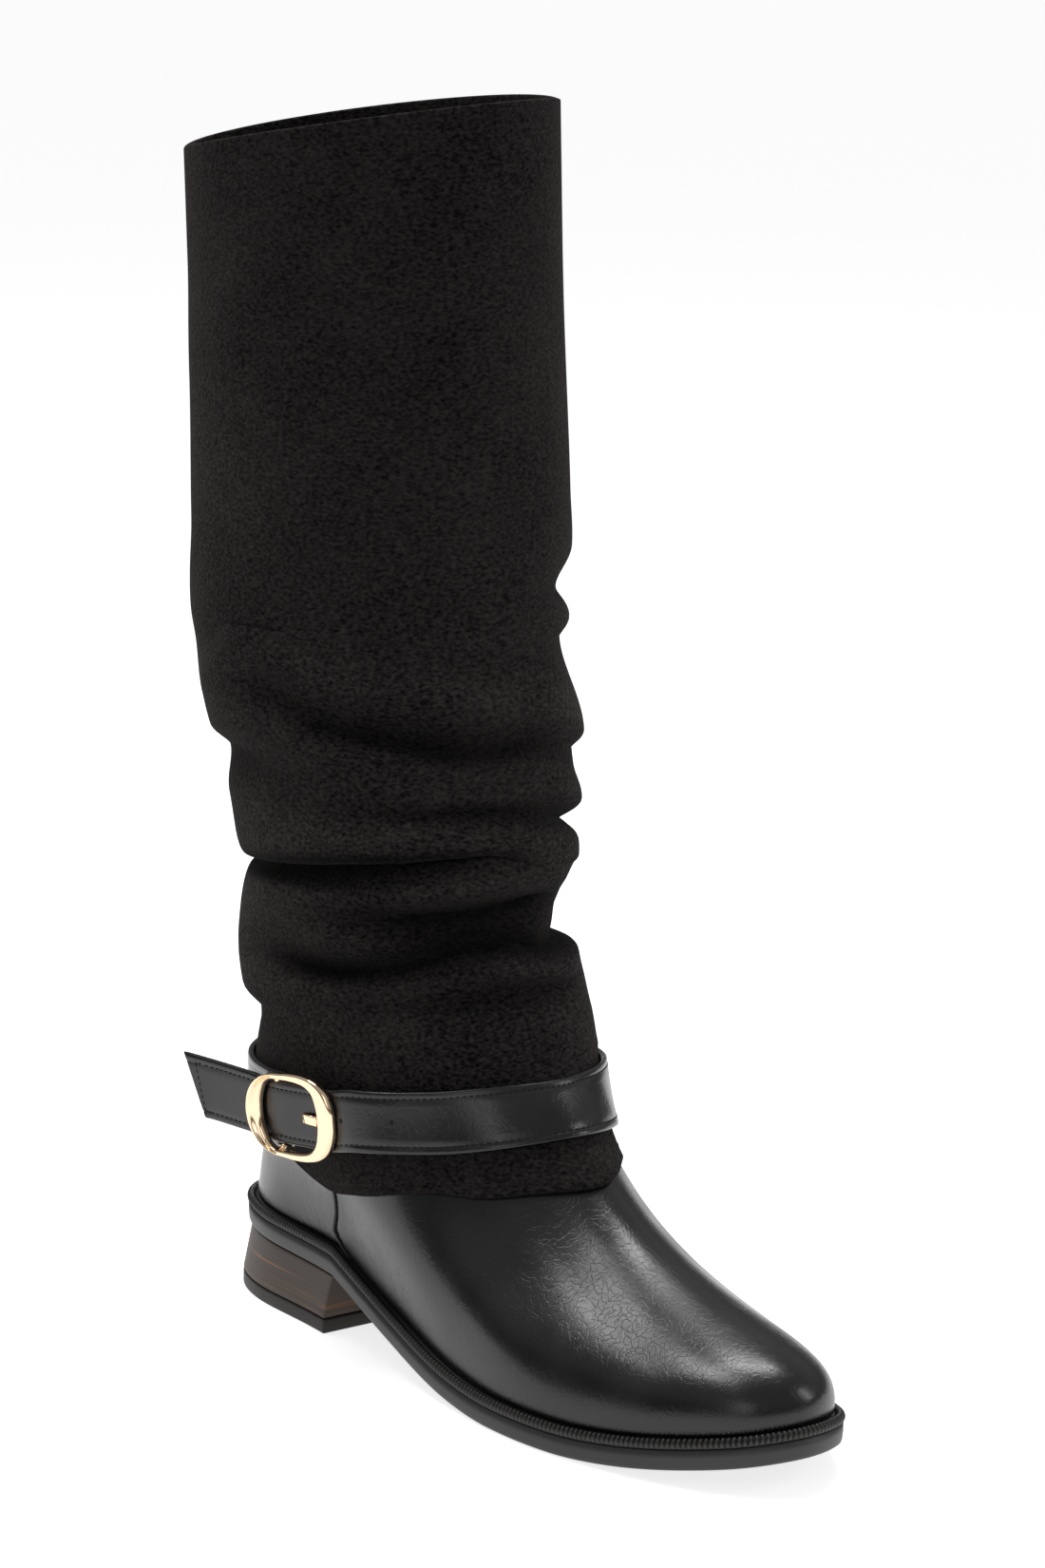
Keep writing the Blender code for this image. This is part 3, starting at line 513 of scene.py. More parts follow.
def ramp(tree, source, stops):
    node = addNode(tree, "ValToRGB", [(source, "Fac")])
    points = node.color_ramp.elements
    while len(points) < len(stops):
        points.new(0.5)
    for point, (spot, colour) in zip(points, stops):
        point.position = spot
        point.color = (*colour, 1) if isinstance(colour, tuple) else (colour,) * 3 + (1,)
    return node.outputs["Color"]


def addCells(tree, source, scale, width):  # grooves of that width between cells
    links = [(source, "Vector")]
    cells = addNode(tree, "TexVoronoi", links, feature="DISTANCE_TO_EDGE", Scale=scale)
    return ramp(tree, cells.outputs["Distance"], [(0.0, 0.0), (width, 1.0)])


def effectGroup(name, *outputs):
    group = bpy.data.node_groups.new(name, "ShaderNodeTree")
    group.interface.new_socket("Vector", in_out="INPUT", socket_type="NodeSocketVector")
    for label in outputs:
        group.interface.new_socket(label, in_out="OUTPUT", socket_type="NodeSocketFloat")
    start = group.nodes.new("NodeGroupInput")
    return group, start.outputs["Vector"], group.nodes.new("NodeGroupOutput")


# cells, folds and flecks a metre, with the widths and shares they show in
wrinkles = {
    "wobble": 120.0,
    "shift": 0.012,
    "stretch": (1.0, 1.0, 0.45),
    "turn": (0.5, 0.2, 0.0),
    "cells": 420.0,
    "creaseWidth": 0.09,
    "folds": 48.0,
    "foldWidth": 0.035,
    "foldShare": 0.45,
    "patches": 38.0,
    "patchFrom": 0.42,
    "patchTo": 0.62,
    "grain": 900.0,
    "grainShare": 0.5,
    "depth": 0.00007,
    "strength": 0.3,
    "dull": 1.25,
}


def makeWrinkleGroup(n):
    group, spot, end = effectGroup("leatherWrinkles", "Height", "Patches")
    wobble = addNoise(group, spot, Scale=n["wobble"], Detail=3.0)
    links = [(spot, "Color1"), (wobble.outputs["Color"], "Color2")]
    moved = addNode(group, "MixRGB", links, Fac=n["shift"]).outputs["Color"]
    links = [(moved, "Vector")]
    turned = addNode(group, "Mapping", links, Scale=n["stretch"], Rotation=n["turn"])
    creases = addCells(group, turned.outputs["Vector"], n["cells"], n["creaseWidth"])
    folds = addCells(group, moved, n["folds"], n["foldWidth"])
    patches = addNoise(group, spot, Scale=n["patches"], Detail=2.0).outputs["Fac"]
    where = ramp(group, patches, [(n["patchFrom"], 0.0), (n["patchTo"], 1.0)])
    grain = addNoise(group, spot, Scale=n["grain"], Detail=4.0).outputs["Fac"]
    total = addMath(group, folds, n["foldShare"], creases)
    group.links.new(addMath(group, grain, n["grainShare"], total), end.inputs["Height"])
    group.links.new(where, end.inputs["Patches"])
    return group


# flecks and patches a metre, and how far a fold's height in mm darkens or lightens them: painted shade in the
# hollows, painted highlight on the ridges
nap = {
    "flecks": 620.0,
    "stretch": (1.0, 1.0, 1.7),
    "patches": 22.0,
    "patchShare": 0.4,
    "toneFrom": 0.5,
    "toneTo": 0.95,
    "depth": 0.0010,
    "strength": 0.8,
    "foldHeight": 4.5,
    "hollow": 0.25,
    "ridge": 1.6,
}


def makeNapGroup(n):
    group, spot, end = effectGroup("suedeNap", "Height", "Mottle")
    drawn = addNode(group, "Mapping", [(spot, "Vector")], Scale=n["stretch"]).outputs["Vector"]
    flecks = addNoise(group, drawn, Scale=n["flecks"], Detail=5.0).outputs["Fac"]
    patches = addNoise(group, spot, Scale=n["patches"], Detail=5.0, Roughness=0.6).outputs["Fac"]
    group.links.new(flecks, end.inputs["Height"])
    group.links.new(addMath(group, patches, n["patchShare"], flecks), end.inputs["Mottle"])
    return group


wrinkleGroup = makeWrinkleGroup(wrinkles)
napGroup = makeNapGroup(nap)


def addEffect(tree, group, n):  # the group by the piece's own coordinates, with its bump
    spot = addNode(tree, "TexCoord").outputs["Object"]
    effect = addNode(tree, "Group", [(spot, "Vector")], node_tree=group)
    links = [(effect.outputs["Height"], "Height")]
    bump = addNode(tree, "Bump", links, Distance=n["depth"], Strength=n["strength"])
    drive(tree, "Normal", bump.outputs["Normal"])
    return effect


def leatherLook(name, colour, dusty, roughness):
    shade = newMaterial(name, colour, roughness)
    tree = shade.node_tree
    patches = addEffect(tree, wrinkleGroup, wrinkles).outputs["Patches"]
    drive(tree, "Base Color", ramp(tree, patches, [(0.0, colour), (1.0, dusty)]))
    drive(tree, "Roughness", ramp(tree, patches, [(0.0, roughness), (1.0, roughness * wrinkles["dull"])]))
    return shade


def suedeLook(name, dark, light):
    shade = newMaterial(name, dark, 0.95)
    tree = shade.node_tree
    sockets = tree.nodes["Principled BSDF"].inputs
    sockets["Specular IOR Level"].default_value = 0.05
    sockets["Sheen Weight"].default_value = 0.03
    sockets["Sheen Roughness"].default_value = 0.45
    sockets["Sheen Tint"].default_value = (1.0, 0.93, 0.88, 1)
    mottle = addEffect(tree, napGroup, nap).outputs["Mottle"]
    tone = ramp(tree, mottle, [(nap["toneFrom"], dark), (nap["toneTo"], light)])
    # painted shade in the folds' hollows and painted highlight on their ridges, scaled from each point's fold
    # depth
    depth = addNode(tree, "Attribute", attribute_name="foldDepth")
    reach = {"From_Min": -nap["foldHeight"], "From_Max": nap["foldHeight"]}
    reach.update(To_Min=nap["hollow"], To_Max=nap["ridge"])
    foldShadeAndHighlight = addNode(tree, "MapRange", [(depth.outputs["Fac"], "Value")], **reach)
    links = [(tone, 0), (foldShadeAndHighlight.outputs["Result"], "Scale")]
    paintedFoldTone = addNode(tree, "VectorMath", links, operation="SCALE")
    drive(tree, "Base Color", paintedFoldTone.outputs["Vector"])
    return shade


def heelLook(name):  # stacked layers of leather, with a few light streaks
    shade = newMaterial(name, (0.045, 0.03, 0.022), 0.55)
    tree = shade.node_tree
    spot = addNode(tree, "TexCoord").outputs["Object"]
    layers = {"Rotation": (0.03, 0.0, 0.0), "Scale": (10.0, 10.0, 560.0)}
    level = addNode(tree, "Mapping", [(spot, "Vector")], **layers)
    streaks = addNoise(tree, level.outputs["Vector"], Scale=1.0, Detail=3.0).outputs["Fac"]
    dark, middle, light = (0.016, 0.011, 0.009), (0.042, 0.025, 0.017), (0.058, 0.034, 0.021)
    stops = [(0.0, dark), (0.47, middle), (0.60, light), (0.67, (0.32, 0.14, 0.04))]
    drive(tree, "Base Color", ramp(tree, streaks, stops))
    return shade


blackLeather = (0.0045, 0.004, 0.0042)
looks = {
    "outsole_rubber": newMaterial("outsoleLook", (0.032, 0.031, 0.032), 0.5),
    "welt_leather": newMaterial("weltLook", (0.014, 0.012, 0.011), 0.45),
    "lining_leather": newMaterial("liningLook", (0.03, 0.027, 0.025), 0.8),
    "heel_wood": heelLook("heelLook"),
    "lift_rubber": newMaterial("liftLook", (0.016, 0.012, 0.010), 0.6),
    "upper_leather": leatherLook("upperLook", blackLeather, (0.008, 0.0075, 0.0077), 0.26),
    "shaft_suede": suedeLook("shaftLook", (0.003, 0.0026, 0.0026), (0.042, 0.037, 0.036)),
    "strap_leather": leatherLook("strapLook", blackLeather, (0.009, 0.0085, 0.0085), 0.24),
    "buckle_brass": newMaterial("brassLook", (0.94, 0.72, 0.50), 0.1, metallic=1.0),
    "thread": newMaterial("threadLook", (0.0015, 0.0015, 0.0015), 0.9),
    # near-black, for the discs that stand for the strap's holes: painted shade
    "hole": newMaterial("holeShadeLook", (0.001, 0.001, 0.001), 0.9),
}
slotOf = {row["node"]: row["material_slot"] for row in frame["record"]["subparts"]}
for node, piece in frame["nodes"].items():
    piece.data.materials.clear()
    piece.data.materials.append(looks[slotOf[node]])
print("stage: looks")

# Foot upper
upperPiece = {"around": 220, "up": 110, "top": 0.96}


def makeUpper(n):
    work = wrapSheet(n["around"], n["up"], lambda u, w: body(w * n["top"], u * places), (0.7, 0.15))
    turnOut(work)
    piece = finishPiece("upperLeather", work, "upper_leather", ["upper"])
    thick = piece.modifiers.new("wall", "SOLIDIFY")
    thick.thickness = wall["upper"]
    thick.offset = -1


# Suede shaft: skirt, slouch, calf and rim
shaftPiece = {
    "around": 260,
    "skirt": 40,
    "slouch": 250,
    "slouchEnd": 1.64,
    "calf": 60,
    "rim": 14,
    "inside": 4,
    "turnIn": 0.02,
    "edge": 5,
    "edgeRound": 0.0005,
    "axis": 0.06,
    "liningAround": 120,
    "liningUp": 150,
    "liningStart": 0.97,
    "liningReach": 1.02,
}


def makeShaft(n):
    gap, thick = sole["gap"], wall["shaft"]
    marks = np.cumsum([0, n["edge"], n["skirt"], n["slouch"], n["calf"], n["rim"]])

    def shape(u, w):
        place = u * places
        row = w * marks[-1]
        lower = shareAt(spline(skirtRows, place, places)[..., 0], place)
        upper = np.clip((row - marks[1]) / n["skirt"], 0, 1)
        s = lower + (1 - lower) * upper
        s = np.where(row > marks[2], np.interp(row, marks[2:5], (1.0, n["slouchEnd"], 2.0)), s)
        turned = np.clip((row - marks[4]) / (n["rim"] - n["inside"]), 0, 1) * math.pi
        lift = gap + thick / 2 + thick / 2 * np.cos(turned)
        inside = np.clip((row - marks[5] + n["inside"]) / n["inside"], 0, 1)
        s = s - inside * n["turnIn"]
        edge = np.clip(1 - row / n["edge"], 0, 1) * math.pi / 2
        lift = np.where(row < marks[1], gap + thick * np.cos(edge), lift)
        points = body(s, place, lift)
        points[..., 2] += np.where(row > marks[4], thick / 2 * np.sin(turned), 0)
        points[..., 2] -= np.where(row < marks[1], n["edgeRound"] * np.sin(2 * edge), 0)
        return points

    def lining(u, w):
        return body(n["liningStart"] + w * n["liningReach"], u * places, gap)

    work = wrapSheet(n["around"], int(marks[-1]), shape, (0.38, 0.34))
    turnOut(work)
    piece = finishPiece("shaftSuede", work, "shaft_suede", ["shaft"])
    # each point's fold push in mm, which the suede's colour turns into painted shade in hollows and painted
    # highlight on ridges
    spots = np.array([v.co[:] for v in piece.data.vertices])
    along, across = sole["heelCentre"] - spots[:, 1], -spots[:, 0]
    bearing = np.degrees(np.arctan2(across - ankleShape["offset"] / 2, along - n["axis"]))
    depth, _ = slouch(spots[:, 2] / calfShape["rim"], np.mod(bearing, 360))
    attribute = piece.data.attributes.new("foldDepth", "FLOAT", "POINT")
    attribute.data.foreach_set("value", (depth * 1000).astype(np.float32))
    work = wrapSheet(n["liningAround"], n["liningUp"], lining, (0.36, 0.3))
    turnOut(work)
    bmesh.ops.reverse_faces(work, faces=work.faces)
    finishPiece("shaftLining", work, "shaft_suede", look="lining_leather")


makeUpper(upperPiece)
print("stage: upper")
makeShaft(shaftPiece)
print("stage: shaft")

# Sole, welt and heel
weltPiece = {"pitch": 0.0017, "columns": 6, "tooth": 0.0012, "sharpness": 1.6, "drop": 0.7}
densePlaces = np.linspace(0, places, 4001)
outlineLength = runLength(outline(densePlaces))

# inset, height over the welt's top, share of the tooth
weltRows = [
    (0.0085, -0.0030, 0.0),
    (0.0085, -0.0002, 0.0),
    (0.0040, -0.0002, 0.0),
    (0.0030, -0.0011, 0.0),
    (0.0024, -0.0010, 0.0),
    (0.0021, -0.0003, 0.5),
    (0.0014, 0.0003, 1.0),
    (0.0006, 0.0002, 1.0),
    (0.0000, -0.0004, 1.0),
    (-0.0003, -0.0012, 1.0),
    (-0.0002, -0.0020, 0.7),
    (0.0002, -0.0026, 0.0),
    (0.0006, -0.0030, 0.0),
]


def makeWelt(n):
    teeth = round(outlineLength[-1] / n["pitch"])
    rows = np.array(weltRows + weltRows[:1])
    levels = np.arange(len(rows)) / (len(rows) - 1)

    def shape(u, w):
        place = np.interp(u * outlineLength[-1], outlineLength, densePlaces)
        inset, above, tooth = (np.interp(w, levels, rows[:, k]) for k in range(3))
        cut = tooth * n["tooth"] * (1 - np.abs(np.sin(math.pi * teeth * u))) ** n["sharpness"]
        edge = outline(place, inset + cut)
        height = weltTop(outline(place, 0.001)[..., 0]) + above - cut * n["drop"]
        return np.concatenate([edge, height[..., None]], -1)

    work = wrapSheet(teeth * n["columns"], len(rows) - 1, shape, (outlineLength[-1], 0.02), closeUp=True)
    finishPiece("knurledWelt", work, "welt_leather", ["welt"])


outsolePiece = {"around": 320}
# inset, height over the welt's top
outsoleRows = [
    (0.0030, -0.0097),
    (0.0016, -0.0096),
    (0.0007, -0.0091),
    (0.0004, -0.0083),
    (0.0002, -0.0058),
    (0.0002, -0.0033),
]


def ringVerts(work, spots):
    return [min(work.verts, key=lambda v: (v.co - Vector(s)).length_squared) for s in spots]


def makeOutsole(n):
    rows = np.array(outsoleRows)
    levels = np.linspace(0, 1, len(rows))
    count = n["around"]

    def shape(u, w):
        inset, above = (np.interp(w, levels, rows[:, k]) for k in range(2))
        edge = outline(u * places, inset)
        return np.concatenate([edge, (weltTop(edge[..., 0]) + above)[..., None]], -1)

    work = wrapSheet(count, len(rows) - 1, shape, (outlineLength[-1], 0.01))
    turns = np.arange(count) / count
    for level in (0.0, 1.0):
        capAcross(work, ringVerts(work, toWorld(shape(turns, np.full(count, level))).tolist()))
    bmesh.ops.recalc_face_normals(work, faces=work.faces)
    finishPiece("outsoleEdge", work, "outsole_rubber", ["outsole"])


heelPiece = {
    "length": 0.0712,
    "rake": 0.0040,
    "inset": 0.0016,
    "flare": 0.0006,
    "lift": 0.0048,
    "around": 120,
    "rows": 8,
    "bevel": 0.0006,
}


def heelShape(n, inset, shift, height):
    behind = outline(densePlaces, inset)[:, 0] < n["length"]
    ends = densePlaces[np.argmax(behind)], densePlaces[len(densePlaces) - 1 - np.argmax(behind[::-1])]
    ring = outline(np.linspace(*ends, n["around"]), inset)
    ring[:, 0] += shift
    if height is None:
        level = weltTop(ring[:, 0]) - sole["soleHeight"] - sole["gap"]
    else:
        level = np.full(len(ring), height)
    return np.concatenate([ring, level[:, None]], -1)


def makeHeelPart(name, n, low, high, rows, slot, node):
    base, top = heelShape(n, *low), heelShape(n, *high)
    work = bmesh.new()
    rings = joinRings(work, [base + (top - base) * step / rows for step in range(rows + 1)])
    for ring in (rings[0], rings[-1]):
        for i in range(len(ring) // 2 - 1):
            work.faces.new((ring[i], ring[i + 1], ring[-2 - i], ring[-1 - i]))
    bmesh.ops.recalc_face_normals(work, faces=work.faces)
    sharp = [e for e in work.edges if len(e.link_faces) == 2 and e.calc_face_angle(0) > 0.9]
    bmesh.ops.bevel(work, geom=sharp, offset=n["bevel"], segments=3, affect="EDGES", profile=0.5, material=-1)
    finishPiece(name, work, slot, [node])


def makeHeel(n):
    spread = n["inset"] - n["flare"]
    footLow = (spread, -n["rake"], 0.0)
    footHigh = (spread, -n["rake"], n["lift"])
    blockLow = (spread, -n["rake"], n["lift"] + sole["gap"])
    blockHigh = (n["inset"], 0.0, None)
    makeHeelPart("heelStack", n, blockLow, blockHigh, n["rows"], "heel_wood", "heel_block")
    makeHeelPart("heelLift", n, footLow, footHigh, 1, "lift_rubber", "top_lift")


makeWelt(weltPiece)
makeOutsole(outsolePiece)
makeHeel(heelPiece)
print("stage: sole and heel")

# Ankle strap, lying on the skirt, with its straight tail through the buckle
strapPiece = {
    "width": 0.0200,
    "thick": 0.0021,
    "chape": 0.0008,
    "rest": 0.0006,
    "splay": 7.5,
    "pitch": 4.5,
    "lean": 3.0,
    "tailPitch": 5.5,
    "slack": 4.0,
    "leave": 5.5,
    "start": 6.95,
    "step": 0.12,
    "thicken": 0.35,
    "wrapFrom": 110,
    "wrapTo": -95,
    "tailTop": 0.0455,
    "tailBottom": 0.0350,
    "tailSag": 0.0006,
    "tailTurned": 0.3,
    "tailSlant": 0.7,
    "barAlong": 0.0698,
    "barHeight": 0.0776,
    "barRadius": 0.0008,
    "barOff": 0.0032,
    "rows": 900,
    "endRound": 0.0005,
    "stitch": 0.0021,
    "stitchAcross": 0.76,
    "stitchFrom": 0.52,
    "stitchTo": 0.0040,
    "tipStitches": 8,
    "tipInset": 0.0030,
    "thread": (0.0008, 0.00028, 0.0002),
    "prongHole": 0.0109,
    "holes": (0.0170, 0.0340),
    "holeRadius": 0.0008,
}
# across as a share of the half width, height as a share of the thickness
strapSide = [
    (0.985, 0.12),
    (1.0, 0.5),
    (0.99, 0.8),
    (0.95, 0.96),
    (0.88, 1.0),
    (0.82, 0.99),
    (0.78, 0.91),
    (0.74, 0.91),
    (0.70, 0.99),
    (0.5, 1.0),
    (0.25, 1.0),
]
strapSection = [(across, 0.0) for across in (-0.94, -0.5, 0.0, 0.5, 0.94)]
strapSection += strapSide + [(0.0, 1.0)] + [(-across, height) for across, height in strapSide[::-1]]
tailShares = (-0.5, -0.25, 0.0, 0.06, 0.12, 0.2, 0.3, 0.4, 0.5, 0.6, 0.7, 0.85, 1.0)


def barFrame(n):
    splay, pitch, lean = np.radians((n["splay"], n["pitch"], n["lean"]))
    level = np.array([math.cos(splay), -math.sin(splay), 0.0])
    outwards = np.array([math.sin(splay), math.cos(splay), 0.0])
    out = outwards * math.cos(lean) - np.array([0, 0, math.sin(lean)])
    ahead = level * math.cos(pitch) + np.cross(level, out) * math.sin(pitch)
    side = np.linspace(4, 9, 101)
    lift = 2 * sole["gap"] + wall["shaft"]
    skin = body(shareAt(np.full_like(side, n["barHeight"]), side), side, lift)
    across = np.interp(-n["barAlong"], -skin[:, 0], skin[:, 1]) + n["barOff"]
    return np.array([n["barAlong"], across, n["barHeight"]]), ahead, np.cross(ahead, out), out


bar, barAhead, barUp, barOut = barFrame(strapPiece)
barCorner = strapPiece["barRadius"] * math.sqrt(2)
tailBase = barCorner + 2 * sole["gap"] + strapPiece["chape"]


def strapShare(place, rise=0.0):
    return shareAt(spline(strapRows, place, places)[..., 0] + rise, place)


def strapStations(n):  # three inner points across, the way out, the thickness
    gap = sole["gap"]
    wide = np.array([[-1], [0], [1]]) * n["width"] / 2
    rows = []
    for degrees in np.linspace(n["wrapFrom"], n["wrapTo"], 15):
        turned = math.radians(degrees)
        away = barAhead * math.cos(turned) + barOut * math.sin(turned)
        rows.append((bar + away * (barCorner + gap) + wide * barUp, away, n["chape"]))
    rest = gap + wall["shaft"] + n["rest"]
    leave = np.array([n["leave"]])
    foot = body(strapShare(leave), leave, rest)[0]
    lifted = (bar + barAhead * np.dot(foot - bar, barAhead) + barOut * tailBase - foot)[1]
    slackTurns = np.linspace(places + n["slack"], places + n["leave"], 14)
    turns = np.concatenate([np.arange(n["start"], places + n["slack"], n["step"]), slackTurns])
    for turn in turns:
        place = np.full(3, np.mod(turn, places))
        slack = np.clip((turn - places - n["slack"]) / (n["leave"] - n["slack"]), 0, 1)
        s = strapShare(place)
        climb = bareBody(s + 0.01, place) - bareBody(s - 0.01, place)
        rise = climb[:, 2] / np.linalg.norm(climb, axis=1) * n["width"] / 2
        s = strapShare(place, rise * np.array([-1, 0, 1]))
        lift = rest + lifted * slack**2 * (3 - 2 * slack)
        inner, outer = body(s, place, lift), body(s, place, lift + 0.001)
        facing = (outer - inner)[1] * 1000
        full = min((turn - n["start"]) / n["thicken"], 1)
        rows.append((inner, facing, n["chape"] + (n["thick"] - n["chape"]) * full))
    start = bar + barOut * tailBase
    for share in tailShares:
        turned = math.radians(n["tailPitch"]) * np.clip(share / n["tailTurned"], 0, 1)
        back = -barAhead * math.cos(turned) + barUp * math.sin(turned)
        across = barUp * math.cos(turned) + barAhead * math.sin(turned)
        slant = max((share - n["tailSlant"]) / (1 - n["tailSlant"]), 0)
        low, high = share * n["tailBottom"], share * n["tailTop"]
        low = high + (low - high) * slant
        reach = np.array([[low], [(low + high) / 2], [high]])
        sag = -n["tailSag"] * math.sin(math.pi * np.clip(share, 0, 1)) * barOut
        rows.append((start + reach * back + wide * across + sag, barOut, n["thick"]))
    return rows


def strapTable(n):
    rows = strapStations(n)
    reach = runLength(np.array([r[0][1] for r in rows]))
    return np.array([[d, *r[0].ravel(), *r[1], r[2]] for d, r in zip(reach, rows)])


strapData = strapTable(strapPiece)
strapLength = strapData[-1, 0]


def strapPoint(along, across, height):  # metres along, share of the half width, share of the thickness
    values = spline(strapData, along)
    low, mid, high = (values[..., 3 * i : 3 * i + 3] for i in range(3))
    out = values[..., 9:12] / np.linalg.norm(values[..., 9:12], axis=-1, keepdims=True)
    a = np.asarray(across)[..., None]
    flat = mid + (high - low) / 2 * a + (high + low - 2 * mid) / 2 * a * a
    return flat + out * (values[..., 12] * height)[..., None]


def makeStrap(n):
    section = np.array(strapSection + strapSection[:1])
    levels = np.linspace(0, 1, len(section))

    def shape(u, w):
        across, height = (np.interp(w, levels, section[:, k]) for k in range(2))
        ends = np.minimum(u, 1 - u) * strapLength / n["endRound"]
        height = 0.5 + (height - 0.5) * np.sqrt(np.clip(ends, 0.15, 1))
        return strapPoint(u * strapLength, across, height)

    work = wrapSheet(n["rows"], len(section) - 1, shape, (strapLength, 0.045), False, True, caps=True)
    finishPiece("strapLeather", work, "strap_leather", ["ankle_strap"])


def makeStitches(name, spots, nexts, tops, size, slot):  # short threads lying along their seam
    work = bmesh.new()
    for spot, ahead, top in zip(*(toWorld(points) for points in (spots, nexts, tops))):
        side, up = Vector(ahead - spot).normalized(), Vector(top - spot).normalized()
        turn = Matrix((side, up.cross(side), up)).transposed().to_4x4()
        place = Matrix.Translation(Vector(spot)) @ turn @ Matrix.Diagonal((*size, 1))
        bmesh.ops.create_uvsphere(work, u_segments=6, v_segments=4, radius=1.0, matrix=place)
    finishPiece(name, work, slot, look="thread")


def strapThreads(n):
    along = np.arange(strapLength * n["stitchFrom"], strapLength - n["stitchTo"], n["stitch"])
    across = np.repeat([n["stitchAcross"], -n["stitchAcross"]], len(along))
    along = np.concatenate([along, along])
    tip = np.linspace(-0.7, 0.7, n["tipStitches"])
    near = np.full_like(tip, strapLength - n["tipInset"])
    spots = [strapPoint(along, across, 0.93), strapPoint(near, tip, 0.98)]
    nexts = [strapPoint(along + 0.0004, across, 0.93), strapPoint(near, tip + 0.05, 0.98)]
    tops = [strapPoint(along, across, 1.4), strapPoint(near, tip, 1.5)]
    joined = (np.concatenate(pair) for pair in (spots, nexts, tops))
    makeStitches("strapThread", *joined, n["thread"], "strap_leather")


def strapReach(distance):  # metres along the strap of a spot that far ahead of the bar
    along = np.linspace(strapLength * 0.6, strapLength, 4000)
    ahead = (strapPoint(along, np.zeros_like(along), 0.5) - bar) @ barAhead
    return np.interp(-distance, -ahead, along)


# near-black discs in the strap's top stand for the punched holes: painted shade of their openings
def makeHoles(n):
    work = bmesh.new()
    for distance in [n["prongHole"] + d for d in n["holes"]]:
        along = np.full(2, strapReach(distance))
        ends = strapPoint(along, np.zeros(2), np.array([0.7, 1.02]))
        addRod(work, *ends, n["holeRadius"], 20)
    finishPiece("strapHoles", work, "strap_leather", look="hole")


makeStrap(strapPiece)
strapThreads(strapPiece)
makeHoles(strapPiece)
print("stage: strap")

# Buckle: a flat bevelled half in front of the bar, a grooved double ring behind it
bucklePiece = {
    "front": 0.0258,
    "back": 0.0137,
    "half": 0.0137,
    "thick": 0.0026,
    "barReach": 0.86,
    "post": 0.0005,
    "around": 144,
    "prong": 0.0030,
    "prongThick": 0.0011,
    "prongRise": (-0.0010, 0.0002, 0.0006, 0.0014),
}
# ahead and up of the outer edge, ahead and up of the inner edge, as shares of the half sizes
frameRows = [
    (1.00, 0.00, 0.740, 0.00),
    (0.985, 0.36, 0.725, 0.30),
    (0.90, 0.70, 0.675, 0.60),
    (0.74, 0.92, 0.57, 0.76),
    (0.54, 1.01, 0.43, 0.82),
    (0.32, 1.02, 0.27, 0.84),
    (0.12, 0.99, 0.10, 0.84),
    (-0.12, 0.95, -0.06, 0.83),
    (-0.40, 0.87, -0.20, 0.76),
    (-0.68, 0.70, -0.34, 0.63),
    (-0.91, 0.40, -0.47, 0.36),
    (-1.00, 0.00, -0.52, 0.00),
]
# share from outer to inner edge, height on the flat half, height on the ringed half
buckleSection = [
    (0.96, 0.02, 0.02),
    (0.50, 0.0, 0.0),
    (0.04, 0.02, 0.02),
    (0.0, 0.12, 0.12),
    (0.0, 0.55, 0.5),
    (0.05, 0.78, 0.8),
    (0.16, 0.97, 1.0),
    (0.30, 1.0, 0.96),
    (0.42, 1.0, 0.62),
    (0.50, 1.0, 0.50),
    (0.58, 1.0, 0.62),
    (0.70, 1.0, 0.96),
    (0.84, 0.96, 1.0),
    (0.95, 0.80, 0.8),
    (1.0, 0.5, 0.5),
    (1.0, 0.12, 0.12),
]


def onBar(ahead, up, out):
    steps = ((ahead, barAhead), (up, barUp), (out, barOut))
    return bar + sum(np.multiply.outer(reach, way) for reach, way in steps)


def makeBuckle(n):
    lower = [(a, -b, c, -d) for a, b, c, d in frameRows[-2:0:-1]]
    table = [(i, *row) for i, row in enumerate(frameRows + lower)]
    section = np.array(buckleSection + buckleSection[:1])
    levels = np.linspace(0, 1, len(section))
    base = tailBase + strapPiece["thick"] + sole["gap"]

    def shape(u, w):
        oa, ou, ia, iu = np.moveaxis(spline(table, u * len(table), len(table)), -1, 0)
        share, flat, ringed = (np.interp(w, levels, section[:, k]) for k in range(3))
        ring = np.clip(-oa / 0.25, 0, 1)
        rise = flat + (ringed - flat) * ring
        ahead, up = oa + (ia - oa) * share, (ou + (iu - ou) * share) * n["half"]
        ahead = ahead * np.where(oa > 0, n["front"], n["back"])
        return onBar(ahead, up, base + rise * n["thick"])

    work = wrapSheet(n["around"], 2 * (len(section) - 1), shape, (0.1, 0.01), True, True)
    reach = n["half"] * n["barReach"]
    radius = strapPiece["barRadius"]
    addRod(work, bar - barUp * reach, bar + barUp * reach, radius, 20)
    for side in (-1, 1):
        foot = bar + barUp * side * (reach - radius)
        addRod(work, foot, foot + barOut * (base + n["post"]), radius, 16)
    finishPiece("buckleFrame", work, "buckle_brass", ["buckle_frame"])


